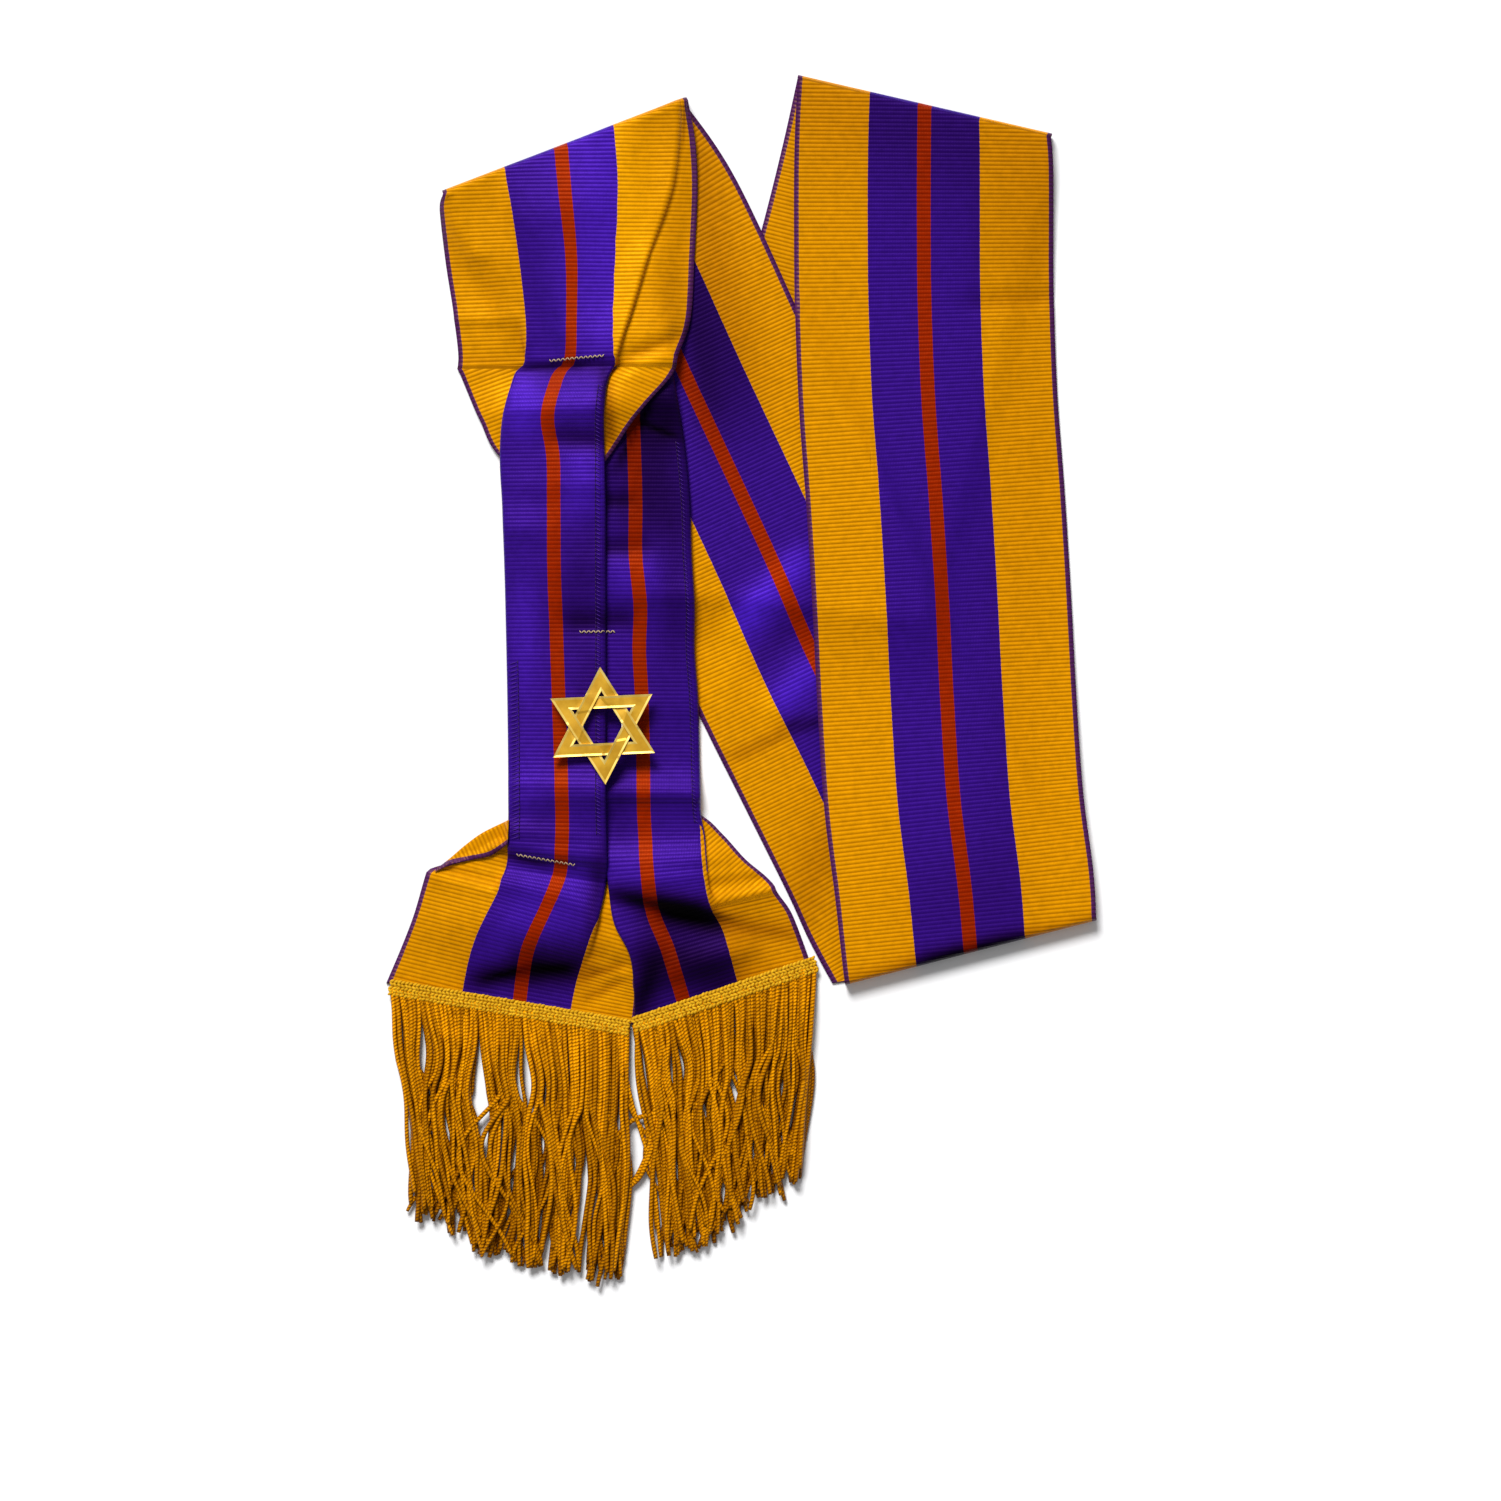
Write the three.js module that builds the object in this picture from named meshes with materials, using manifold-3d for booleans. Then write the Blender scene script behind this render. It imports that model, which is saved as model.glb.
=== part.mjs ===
// A ceremonial sash laid out folded on a table: one long striped ribbon, a cord fringe on
// each of its two ends, and a gilt star badge pinned over the joined tails.
// Millimetres, +Z up. X runs to the right and Y away from the viewer, and the sash rests on Z = 0.

import * as THREE from "three";
import { mergeVertices } from "three/addons/utils/BufferGeometryUtils.js";
import Module from "manifold-3d";

// Ribbon: its cut size, its wall, and where the gold edge stripes meet the purple.
const RIBBON_WIDTH = 100;
const HALF_WIDTH = RIBBON_WIDTH / 2;
const WALL = 1.0;
const STRIPE_EDGE = 21.6; // centre line to where purple turns to gold
const PLEAT_RADIUS = 0.63; // mid-wall radius of a pressed pleat fold
const DEEP_PLEAT_RADIUS = 1.26; // the right-hand flap passes behind the left-hand one
const LEAST = 0.6; // shortest stretch of cloth between two folds
const PLEAT_SETTLES = 8; // tuck over which a fold line leaves the stripe's edge
const DEEP_PLEAT_SETTLES = 45; // tuck at which the right-hand flap reaches its depth
const PLEAT_REACH = 14; // distance past a fold over which the cloth is still held straight

// The origin is under the middle of the sash's box.
const CENTRE = { x: 0.31, y: 1.17 };

// Steps of the mesh.
const FRONT_STEPS = 4;
const ARC_STEPS = 2;
const ROLL_STEPS = 5;

// How the layers settle on each other.
const LAYER_GAP = 0.32;
const NOTHING = -1; // a cell of a height map where there is no cloth
const MAP = { x: -156, y: -156, cell: 2, columns: 157, rows: 206 };
// Cells over which a layer spans and eases over an edge below, and passes that lift what sinks.
const DRAPE = { reach: 2, blend: 2, passes: 4 };

// Star badge.
const STAR_RADIUS = 22.8;
const STAR_BAR = 4.5;
const STAR_THICKNESS = 1.6;
const STAR_RELIEF = 0.5; // how far a bar rises where it passes over another
const STAR_TILT = THREE.MathUtils.degToRad(2.6);
const STAR_PLACE = { x: -54.1, y: -16.9 };
const PIN_BARS = [
  { x: -8.6, length: 12, width: 2.4 },
  { x: 8.4, length: 18, width: 2.4 },
];

// Fringe.
const HEADING = { width: 6.4, thickness: 2.0 };
const LOCK = { rootWidth: 1.06, tipWidth: 0.72, thickness: 2.6, steps: 4, sway: 1.3 };

const RIBBON_COLOUR = 0x42149c;
const FRINGE_COLOUR = 0xc88a12;
const STAR_COLOUR = 0xd7aa38;

// One row of a table as an object with the columns' names.
function table(columns, rows) {
  return rows.map((row) => Object.fromEntries(columns.map((name, i) => [name, row[i]])));
}

// Columns of a section of ribbon, in millimetres and degrees:
//   x, y      the red centre line
//   turn      direction of the section, from left selvedge to right selvedge
//   lift1, lift2  how far the left and right half stand clear of what they lie on
//   in1, in2  distance in plan from the centre line to the stripe's edge, or to the fold
//   out1, out2  distance in plan to the selvedge where the section lies open
//   t1, t2    how far each selvedge is drawn in by the pleat behind the tail
const SECTION = ["x", "y", "turn", "lift1", "lift2", "in1", "out1", "t1", "in2", "out2", "t2"];
const OPEN_SECTION = ["x", "y", "turn", "lift1", "lift2"];

// A stretch that lies open at its full width.
function open(rows, spread) {
  return table(OPEN_SECTION, rows).map((row) => ({
    ...row,
    in1: STRIPE_EDGE * spread,
    out1: HALF_WIDTH * spread,
    t1: 0,
    in2: STRIPE_EDGE * spread,
    out2: HALF_WIDTH * spread,
    t2: 0,
  }));
}

// The front tail, from its fringe up to the top-left fold.
const FRONT_TAIL = table(SECTION, [
  [-87, -126.5, -9.5, 0, 0, 23, 51.5, 0, 20, 45, 0],
  [-85.6, -114, -12, 0.3, 0.2, 22, 48.8, 0, 21, 45, 0],
  [-83.4, -103, -15, 1.0, 0.4, 20.5, 46.5, 0, 22, 44, 0],
  [-76, -87, -15, 0.8, 0.2, 20, 49, 0, 19.8, 43, 4],
  [-71.2, -75, -8, 0.2, 0.2, 20.2, 49, 11, 17.3, 46, 30],
  [-70.2, -63.5, -3, 0, 0, 20.3, 50, 27, 16, 50, 52],
  [-70.1, -45.9, 0, 0, 0, 20.2, 50, 60, 15.5, 50, 64],
  [-71.4, -6.7, 0, 0, 0, 19.3, 50, 62, 16.8, 50, 64],
  [-73, 40, 0, 0, 0, 18.7, 50, 62, 18.4, 50, 62],
  [-73.2, 68, 0, 0, 0, 19.4, 50, 60, 18.6, 50, 46],
  [-73.4, 87.4, 0, 0, 0, 20.2, 50, 30, 18.8, 50, 29],
  [-75.6, 103.1, 0, 0, 0, 17, 50, 23, 21, 50, 16],
  [-72.6, 116.8, 0, 0, 0, 16.6, 50, 14, 19.4, 50, 7],
  [-70.3, 121.8, 0, 0, 0, 17, 47, 9.6, 18.7, 46, 4],
  [-66.8, 126.6, 0, 0, 0, 16.7, 45.5, 3, 16.9, 41.5, 1],
  [-66.2, 142.3, 0, 0, 0, 18.2, 46.4, 0, 16, 46.5, 0],
  [-66.2, 165.8, 3, 0.4, 0, 20.6, 49.6, 0, 16.7, 48.2, 0],
  [-68.6, 189.3, 7, 0.3, 0, 21.5, 49.6, 0, 20.3, 51.9, 0],
  [-70.4, 208.7, 21, 0.3, 0.3, 23.5, 49, 0, 22, 54, 0],
]);
const FAN_TOP = -73; // below this the front tail lies under the rear one

// Hidden under the diagonal: down from the outer top-left fold to the lower fold.
const UNDER_DIAGONAL = open([
  [-70.4, 208.7, 21, 0, 0],
  [-48, 175, 25, 0, 0],
  [-20, 118, 25, 0, 0],
  [2, 74, 22, 0, 0],
  [13, 47, 12, 0.2, 0.2],
  [21, 30, -6, 0.5, 0.5],
], 1);

// Back layer: up from the lower fold to the top-right fold.
const BACK = open([
  [21, 30, -6, 0, 0],
  [29, 62, -10, 0, 0],
  [43, 112, -13, 0, 0],
  [58, 168, -12, 0, 0],
  [66, 200, -12, 0, 0],
  [71.5, 223.7, -13, 0, 0],
], 1.02);

// Broad right-hand front, from the top-right fold down to the bottom-right fold.
const RIGHT_FRONT = open([
  [71.5, 223.7, -13, 4.0, 4.0],
  [71.3, 203, -4, 3.4, 3.4],
  [71.3, 178, 0.5, 2.4, 2.2],
  [71.6, 150, 1.5, 1.2, 0.8],
  [73.1, 110.9, 2.8, 0.4, 0.2],
  [76, 71.7, 3.5, 0.2, 0.2],
  [78.4, 32.5, 3.3, 0.2, 0.4],
  [80.4, -6.7, 3.2, 1.0, 1.6],
  [83, -45.9, 4.5, 3.0, 3.2],
  [87.1, -79, 8, 4.4, 4.4],
  [89.4, -104, 14.4, 4.8, 4.8],
], 1.015);

// The diagonal, from the bottom-right fold up to the inner top-left fold.
const DIAGONAL = open([
  [89.4, -104, 14.4, 0, 0],
  [76, -83, 19, 0, 0],
  [64, -63, 23, 0, 0],
  [45.7, -24.7, 25, 0, 0],
  [27.6, 12, 26, 0, 0],
  [10, 52.1, 26, 0, 0],
  [-17.6, 110.9, 25.5, 0, 0],
  [-47.6, 175.2, 25, 0, 0],
  [-70.4, 208.7, 21, 0, 0],
], 1.01);

// The rear tail, from the inner top-left fold down to its fringe.
const REAR_TAIL = table(SECTION, [
  [-70.4, 208.7, 21, 1.2, 1.2, 22.5, 48.5, 0, 21.6, 51, 0],
  [-63, 189, 20, 0.6, 0.6, 21.6, 50, 3, 21, 49, 8],
  [-57, 172, 18, 0.2, 0.2, 21, 50, 14, 20, 50, 20],
  [-50, 148, 16, 0, 0, 20, 50, 36, 17, 50, 32],
  [-43.5, 124, 8, 0, 0, 18.9, 50, 60, 14.3, 50, 50],
  [-42.2, 97, 0, 0, 0, 20.5, 50, 60, 16.2, 50, 62],
  [-41.4, 71.7, 0, 0, 0, 21, 50, 60, 18.4, 50, 62],
  [-41.4, 50, 0, 0, 0, 21, 50, 60, 20.3, 50, 60],
  [-39.6, 24.7, 0, 0, 0, 21, 50, 60, 19.7, 50, 60],
  [-39, -6.7, 0, 0, 0, 21, 50, 60, 20.4, 50, 60],
  [-38.4, -36, 0, 0, 0, 21, 50, 60, 20.6, 50, 58],
  [-38.2, -51, 0, 0, 0, 20.4, 50, 60, 21, 50, 29],
  [-37.7, -60, 1, 0, 0.2, 18.4, 50, 60, 22.2, 50, 19.6],
  [-37, -72, 4, 0, 0.2, 15, 50, 60, 22.5, 50, 11.3],
  [-34.7, -90, 12, 0.3, 0.3, 14.8, 50, 60, 22.3, 48.8, 0],
  [-28.8, -104.7, 16, 0.3, 0.3, 14, 50, 60, 22.8, 50.6, 0],
  [-21.8, -127.8, 18.7, 0, 0, 20, 50, 60, 22.2, 52, 0],
]);

// The ribbon's stretches in order. A roll over a fold line joins each to the next.
const STRETCHES = [
  { sections: FRONT_TAIL, steps: 2 },
  { sections: UNDER_DIAGONAL, steps: 1 },
  { sections: BACK, steps: 1 },
  { sections: RIGHT_FRONT, steps: 1 },
  { sections: DIAGONAL, steps: 2 },
  { sections: REAR_TAIL, steps: 2 },
];

// Each fringe: the line of its heading, and where its cords end, as fractions of that line.
const FRINGES = [
  {
    name: "fringe_left",
    heading: { from: [-136, -118.3], to: [-44.4, -133.6] },
    locks: 12,
    tips: table(["at", "x", "y"], [
      [0, -131.5, -200],
      [0.12, -122, -212],
      [0.4, -97, -226.5],
      [0.72, -70, -232],
      [0.86, -58.5, -236.2],
      [1, -45, -232],
    ]),
  },
  {
    name: "fringe_right",
    heading: { from: [-41, -134.4], to: [27, -111.4] },
    locks: 9,
    tips: table(["at", "x", "y"], [
      [0, -33, -225],
      [0.2, -21, -224],
      [0.4, -9.5, -219],
      [0.65, 4, -209],
      [0.85, 14.5, -200],
      [1, 25.5, -194],
    ]),
  },
];

const wasm = await Module();
wasm.setup();

// A geometry as a solid that can be joined and cut.
function solid(geometry) {
  const bare = geometry.clone();
  bare.deleteAttribute("normal");
  bare.deleteAttribute("uv");
  const merged = mergeVertices(bare, 1e-4);
  const made = new wasm.Manifold(
    new wasm.Mesh({
      numProp: 3,
      vertProperties: merged.attributes.position.array,
      triVerts: new Uint32Array(merged.index.array),
    }),
  );
  return made;
}

// A solid as a geometry for a mesh.
function geometryOf(made) {
  const mesh = made.getMesh();
  const geometry = new THREE.BufferGeometry();
  geometry.setAttribute("position", new THREE.BufferAttribute(mesh.vertProperties, 3));
  geometry.setIndex(new THREE.BufferAttribute(mesh.triVerts, 1));
  return geometry;
}

// A smooth value between rows b and c, with a and d on either side.
function smooth(a, b, c, d, f) {
  const start = (c - a) / 2;
  const end = (d - b) / 2;
  const f2 = f * f;
  const f3 = f2 * f;
  return (2 * f3 - 3 * f2 + 1) * b + (f3 - 2 * f2 + f) * start + (3 * f2 - 2 * f3) * c + (f3 - f2) * end;
}

// Sections along a stretch, with extra ones between its rows.
function along(rows, steps) {
  const sections = [];
  for (let i = 0; i < rows.length - 1; i += 1) {
    const near = [rows[Math.max(i - 1, 0)], rows[i], rows[i + 1], rows[Math.min(i + 2, rows.length - 1)]];
    for (let k = 0; k < steps; k += 1) {
      const section = {};
      for (const name of SECTION) {
        section[name] = smooth(...near.map((row) => row[name]), k / steps);
      }
      section.t1 = Math.max(section.t1, 0);
      section.t2 = Math.max(section.t2, 0);
      sections.push(section);
    }
  }
  sections.push(rows[rows.length - 1]);
  return sections;
}

// The angle of an S-shaped pleat, two arcs and the run between them, that draws the selvedge in by tuck.
function pleatAngle(tuck, arcs, run) {
  let low = 1e-6;
  let high = Math.PI;
  for (let i = 0; i < 24; i += 1) {
    const angle = (low + high) / 2;
    const drawnIn = arcs * (1 - Math.sin(angle) / angle) + run * (1 - Math.cos(angle));
    if (drawnIn < tuck) low = angle;
    else high = angle;
  }
  return (low + high) / 2;
}

// One side of a section, from the fold line out to the selvedge: distance from the centre line
// in plan, and depth below the front. The cloth turns under, runs inward, turns again and runs out.
function side(inner, outer, tuck, radius) {
  const settled = Math.min(1, tuck / PLEAT_SETTLES);
  const cornerWidth = STRIPE_EDGE + (inner - STRIPE_EDGE) * settled;
  const flap = HALF_WIDTH - cornerWidth;
  const stretch = (outer - inner) / (HALF_WIDTH - STRIPE_EDGE);
  const scale = stretch + (1 - stretch) * settled;
  const arc1 = Math.PI * radius;
  const arc2 = Math.PI * PLEAT_RADIUS;
  const arcs = arc1 + arc2;
  const spare = flap - arcs;
  const run = Math.min(Math.max((tuck - arcs) / 2, LEAST), spare - LEAST);
  const angle1 = pleatAngle(tuck, arcs, run);
  const rest = spare - run;
  const angle2 = angle1 * Math.min(1, (rest - LEAST) / 3);
  const points = [{ width: cornerWidth, across: inner, depth: 0 }];
  let heading = 0;
  const walk = (length, turn, steps) => {
    for (let i = 0; i < steps; i += 1) {
      const last = points[points.length - 1];
      const mid = heading + turn / steps / 2;
      heading += turn / steps;
      const step = length / steps;
      points.push({
        width: last.width + step,
        across: last.across + step * scale * Math.cos(mid),
        depth: last.depth + step * Math.sin(mid),
      });
    }
  };
  walk(arc1, angle1, ARC_STEPS);
  walk(run, 0, 1);
  walk(arc2, -angle2, ARC_STEPS);
  walk(rest, 0, 1);
  return points;
}

// All points of a section in plan, from the left selvedge to the right one. Each keeps its
// depth below the front of the section and its lift above what the section lies on.
function sectionPoints(section) {
  const turn = THREE.MathUtils.degToRad(section.turn);
  const place = (across, depth) => {
    const share = Math.min(Math.max((across + section.in1) / (section.in1 + section.in2), 0), 1);
    const lift = section.lift1 + (section.lift2 - section.lift1) * share;
    const beyond = Math.max(0, -across - section.in1, across - section.in2);
    const settled = Math.min(1, Math.max(section.t1, section.t2) / PLEAT_SETTLES);
    const pleated = settled * Math.max(0, 1 - beyond / PLEAT_REACH);
    return {
      x: section.x + across * Math.cos(turn),
      y: section.y + across * Math.sin(turn),
      depth,
      lift,
      share,
      pleated,
    };
  };
  const left = side(section.in1, section.out1, section.t1, PLEAT_RADIUS);
  const deepened = Math.min(1, section.t2 / DEEP_PLEAT_SETTLES);
  const radius = PLEAT_RADIUS + (DEEP_PLEAT_RADIUS - PLEAT_RADIUS) * deepened ** 2;
  const right = side(section.in2, section.out2, section.t2, radius);
  const row = left.map((point) => place(-point.across, point.depth)).reverse();
  for (let i = 1; i < FRONT_STEPS; i += 1) {
    row.push(place(-section.in1 + ((section.in1 + section.in2) * i) / FRONT_STEPS, 0));
  }
  return row.concat(right.map((point) => place(point.across, point.depth)));
}

// A map of heights over the table, in square cells.
class HeightMap {
  constructor(empty) {
    this.empty = empty;
    this.values = new Float32Array(MAP.columns * MAP.rows).fill(empty);
  }

  cell(x, y) {
    return [Math.round((x - MAP.x) / MAP.cell), Math.round((y - MAP.y) / MAP.cell)];
  }

  raise(x, y, height) {
    const [i, j] = this.cell(x, y);
    const k = j * MAP.columns + i;
    this.values[k] = Math.max(this.values[k], height);
  }

  near(x, y) {
    const [i, j] = this.cell(x, y);
    return this.values[j * MAP.columns + i];
  }

  at(x, y) {
    const u = (x - MAP.x) / MAP.cell;
    const v = (y - MAP.y) / MAP.cell;
    const i = Math.floor(u);
    const j = Math.floor(v);
    const value = (a, b) => this.values[(j + b) * MAP.columns + i + a];
    const near = value(0, 0) * (1 - u + i) + value(1, 0) * (u - i);
    const far = value(0, 1) * (1 - u + i) + value(1, 1) * (u - i);
    return near * (1 - v + j) + far * (v - j);
  }

  // A new map in which each cell combines the filled cells within a radius.
  combined(radius, combine) {
    const made = new HeightMap(this.empty);
    for (let j = radius; j < MAP.rows - radius; j += 1) {
      for (let i = radius; i < MAP.columns - radius; i += 1) {
        const near = [];
        for (let b = -radius; b <= radius; b += 1) {
          for (let a = -radius; a <= radius; a += 1) {
            const value = this.values[(j + b) * MAP.columns + i + a];
            if (a * a + b * b <= radius * radius + 1 && value !== this.empty) near.push(value);
          }
        }
        if (near.length) made.values[j * MAP.columns + i] = combine(near);
      }
    }
    return made;
  }
}

// Points spread over the cloth between rows, with their values blended from its corners.
function overCloth(rows, names, visit) {
  for (let i = 0; i < rows.length - 1; i += 1) {
    for (let j = 0; j < rows[i].length - 1; j += 1) {
      const corners = [rows[i][j], rows[i][j + 1], rows[i + 1][j], rows[i + 1][j + 1]];
      const wide = Math.hypot(corners[1].x - corners[0].x, corners[1].y - corners[0].y);
      const long = Math.hypot(corners[2].x - corners[0].x, corners[2].y - corners[0].y);
      const columns = Math.ceil((1.5 * wide) / MAP.cell) + 1;
      const lines = Math.ceil((1.5 * long) / MAP.cell) + 1;
      for (let a = 0; a <= columns; a += 1) {
        for (let b = 0; b <= lines; b += 1) {
          const u = a / columns;
          const v = b / lines;
          const weights = [(1 - u) * (1 - v), u * (1 - v), (1 - u) * v, u * v];
          const point = {};
          for (const name of names) {
            point[name] = corners.reduce((sum, corner, c) => sum + corner[name] * weights[c], 0);
          }
          visit(point, corners, weights);
        }
      }
    }
  }
}

// Lays a stretch on the floor and on what already lies there.
function settle(rows, tops) {
  const need = new HeightMap(NOTHING);
  overCloth(rows, ["x", "y", "depth", "lift"], (point) => {
    need.raise(point.x, point.y, tops.at(point.x, point.y) + point.depth + point.lift);
  });
  const average = (values) => values.reduce((sum, value) => sum + value, 0) / values.length;
  const front = need.combined(DRAPE.reach, (values) => Math.max(...values)).combined(DRAPE.blend, average);
  for (const row of rows) {
    for (const point of row) point.front = front.at(point.x, point.y);
    straighten(row, need);
  }
  for (let pass = 0; pass < DRAPE.passes; pass += 1) raiseRows(rows, need);
  for (const point of rows.flat()) {
    point.z = point.front - point.depth + WALL / 2;
  }
}

// Makes the front of a pleated section straight across, so that the layers behind stay parallel.
function straighten(row, need) {
  const needed = (points) => Math.max(...points.map((point) => need.near(point.x, point.y)));
  const first = needed(row.filter((point) => point.share < 0.5));
  const last = needed(row.filter((point) => point.share >= 0.5));
  for (const point of row) {
    const straight = first + (last - first) * point.share;
    point.front += (straight - point.front) * point.pleated;
  }
}

// Raises cloth that would sink below the height that it needs: a pleated part as a whole.
function raiseRows(rows, need) {
  for (let i = 0; i < rows.length - 1; i += 1) {
    let most = 0;
    overCloth(rows.slice(i, i + 2), ["x", "y", "front", "pleated"], (point, corners, weights) => {
      const short = need.near(point.x, point.y) - point.front;
      if (short <= 0) return;
      most = Math.max(most, short * point.pleated);
      corners.forEach((corner, c) => {
        corner.front += short * weights[c] * (1 - corner.pleated);
      });
    });
    for (const point of rows.slice(i, i + 2).flat()) point.front += (most / 2) * point.pleated;
  }
}

// Adds a settled stretch to what later ones lie on.
function cover(rows, tops) {
  overCloth(rows, ["x", "y", "z"], (point) => {
    tops.raise(point.x, point.y, point.z + WALL / 2 + LAYER_GAP);
  });
}

// The half-round of cloth that joins the end of one stretch to the start of the next.
function roll(end, start, before) {
  const line = new THREE.Vector2(end.at(-1).x - end[0].x, end.at(-1).y - end[0].y).normalize();
  const out = new THREE.Vector2(-line.y, line.x);
  const middle = Math.floor(end.length / 2);
  const travel = new THREE.Vector2(end[middle].x - before[middle].x, end[middle].y - before[middle].y);
  if (out.dot(travel) < 0) out.negate();
  const rows = [];
  for (let i = 1; i < ROLL_STEPS; i += 1) {
    const angle = (Math.PI * i) / ROLL_STEPS;
    rows.push(
      end.map((near, j) => {
        const radius = (near.z - start[j].z) / 2;
        const bulge = Math.abs(radius) * Math.sin(angle);
        return {
          x: near.x + out.x * bulge,
          y: near.y + out.y * bulge,
          z: (near.z + start[j].z) / 2 + radius * Math.cos(angle),
        };
      }),
    );
  }
  return rows;
}

// Rows of points over the whole length of the ribbon, settled from the bottom layer up.
function ribbonRows(tops) {
  const [frontTail, underDiagonal, back, rightFront, diagonal, rearTail] = STRETCHES.map(
    ({ sections, steps }) => along(sections, steps).map(sectionPoints),
  );
  const fan = frontTail.findIndex((row) => row[Math.floor(row.length / 2)].y > FAN_TOP);
  const fanOfFront = frontTail.slice(0, fan);
  const restOfFront = frontTail.slice(fan);
  const layers = [back, underDiagonal, diagonal, fanOfFront, rearTail, restOfFront, rightFront];
  for (const layer of layers) {
    settle(layer, tops);
    cover(layer, tops);
  }
  const rows = [];
  for (const next of [frontTail, underDiagonal, back, rightFront, diagonal, rearTail]) {
    if (rows.length) rows.push(...roll(rows.at(-1), next[0], rows.at(-2)));
    rows.push(...next);
  }
  return rows;
}

// A closed wall of even thickness on either side of a grid of points.
function wall(rows, thickness) {
  const count = rows[0].length;
  const points = rows.map((row) => row.map((point) => new THREE.Vector3(point.x, point.y, point.z)));
  const at = (i, j) => points[Math.min(Math.max(i, 0), rows.length - 1)][Math.min(Math.max(j, 0), count - 1)];
  const positions = [];
  const normals = points.map((row, i) =>
    row.map((point, j) => {
      const lengthwise = new THREE.Vector3().subVectors(at(i + 1, j), at(i - 1, j));
      const across = new THREE.Vector3().subVectors(at(i, j + 1), at(i, j - 1));
      return across.cross(lengthwise).normalize();
    }),
  );
  for (const face of [0.5, -0.5]) {
    points.forEach((row, i) =>
      row.forEach((point, j) => {
        const moved = point.clone().addScaledVector(normals[i][j], face * thickness);
        positions.push(moved.x - CENTRE.x, moved.y - CENTRE.y, Math.max(moved.z, 0));
      }),
    );
  }
  const index = [];
  const layer = rows.length * count;
  const id = (face, i, j) => face * layer + i * count + j;
  const quad = (a, b, c, d) => index.push(a, b, c, a, c, d);
  for (let i = 0; i < rows.length - 1; i += 1) {
    for (let j = 0; j < count - 1; j += 1) {
      quad(id(0, i, j), id(0, i, j + 1), id(0, i + 1, j + 1), id(0, i + 1, j));
      quad(id(1, i, j), id(1, i + 1, j), id(1, i + 1, j + 1), id(1, i, j + 1));
    }
    quad(id(0, i, 0), id(0, i + 1, 0), id(1, i + 1, 0), id(1, i, 0));
    quad(id(0, i + 1, count - 1), id(0, i, count - 1), id(1, i, count - 1), id(1, i + 1, count - 1));
  }
  const end = rows.length - 1;
  for (let j = 0; j < count - 1; j += 1) {
    quad(id(0, 0, j + 1), id(0, 0, j), id(1, 0, j), id(1, 0, j + 1));
    quad(id(0, end, j), id(0, end, j + 1), id(1, end, j + 1), id(1, end, j));
  }
  const geometry = new THREE.BufferGeometry();
  geometry.setAttribute("position", new THREE.Float32BufferAttribute(positions, 3));
  geometry.setIndex(index);
  return geometry;
}

// A value of a table at a fraction of its "at" column.
function read(rows, at, name) {
  let i = 0;
  while (i < rows.length - 2 && rows[i + 1].at < at) i += 1;
  const f = (at - rows[i].at) / (rows[i + 1].at - rows[i].at);
  return rows[i][name] + (rows[i + 1][name] - rows[i][name]) * f;
}

// A closed strip through cross-sections that each have the same number of points.
function loft(sections) {
  const sides = sections[0].length;
  const positions = sections.flat().flatMap((p) => [p.x - CENTRE.x, p.y - CENTRE.y, p.z]);
  const index = [];
  for (let i = 0; i < sections.length - 1; i += 1) {
    for (let j = 0; j < sides; j += 1) {
      const a = i * sides + j;
      const b = i * sides + ((j + 1) % sides);
      index.push(a, b, b + sides, a, b + sides, a + sides);
    }
  }
  const last = (sections.length - 1) * sides;
  for (let j = 1; j < sides - 1; j += 1) {
    index.push(0, j + 1, j, last, last + j, last + j + 1);
  }
  const geometry = new THREE.BufferGeometry();
  geometry.setAttribute("position", new THREE.Float32BufferAttribute(positions, 3));
  geometry.setIndex(index);
  return geometry;
}

// A flattened six-sided cross-section, standing across the given direction.
function lockSection(centre, direction, width, bottom, top) {
  const across = new THREE.Vector3(-direction.y, direction.x, 0).normalize();
  const middle = (bottom + top) / 2;
  const shape = [
    [-0.5, middle],
    [-0.3, bottom],
    [0.3, bottom],
    [0.5, middle],
    [0.3, top],
    [-0.3, top],
  ];
  return shape.map(([f, z]) =>
    new THREE.Vector3(centre.x, centre.y, z).addScaledVector(across, f * width),
  );
}

// The highest ribbon within a distance of a place.
function highest(tops, x, y, distance) {
  let top = 0;
  for (let a = -distance; a <= distance; a += MAP.cell / 2) {
    for (let b = -distance; b <= distance; b += MAP.cell / 2) {
      if (Math.hypot(a, b) <= distance) top = Math.max(top, tops.at(x + a, y + b));
    }
  }
  return top;
}

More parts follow.
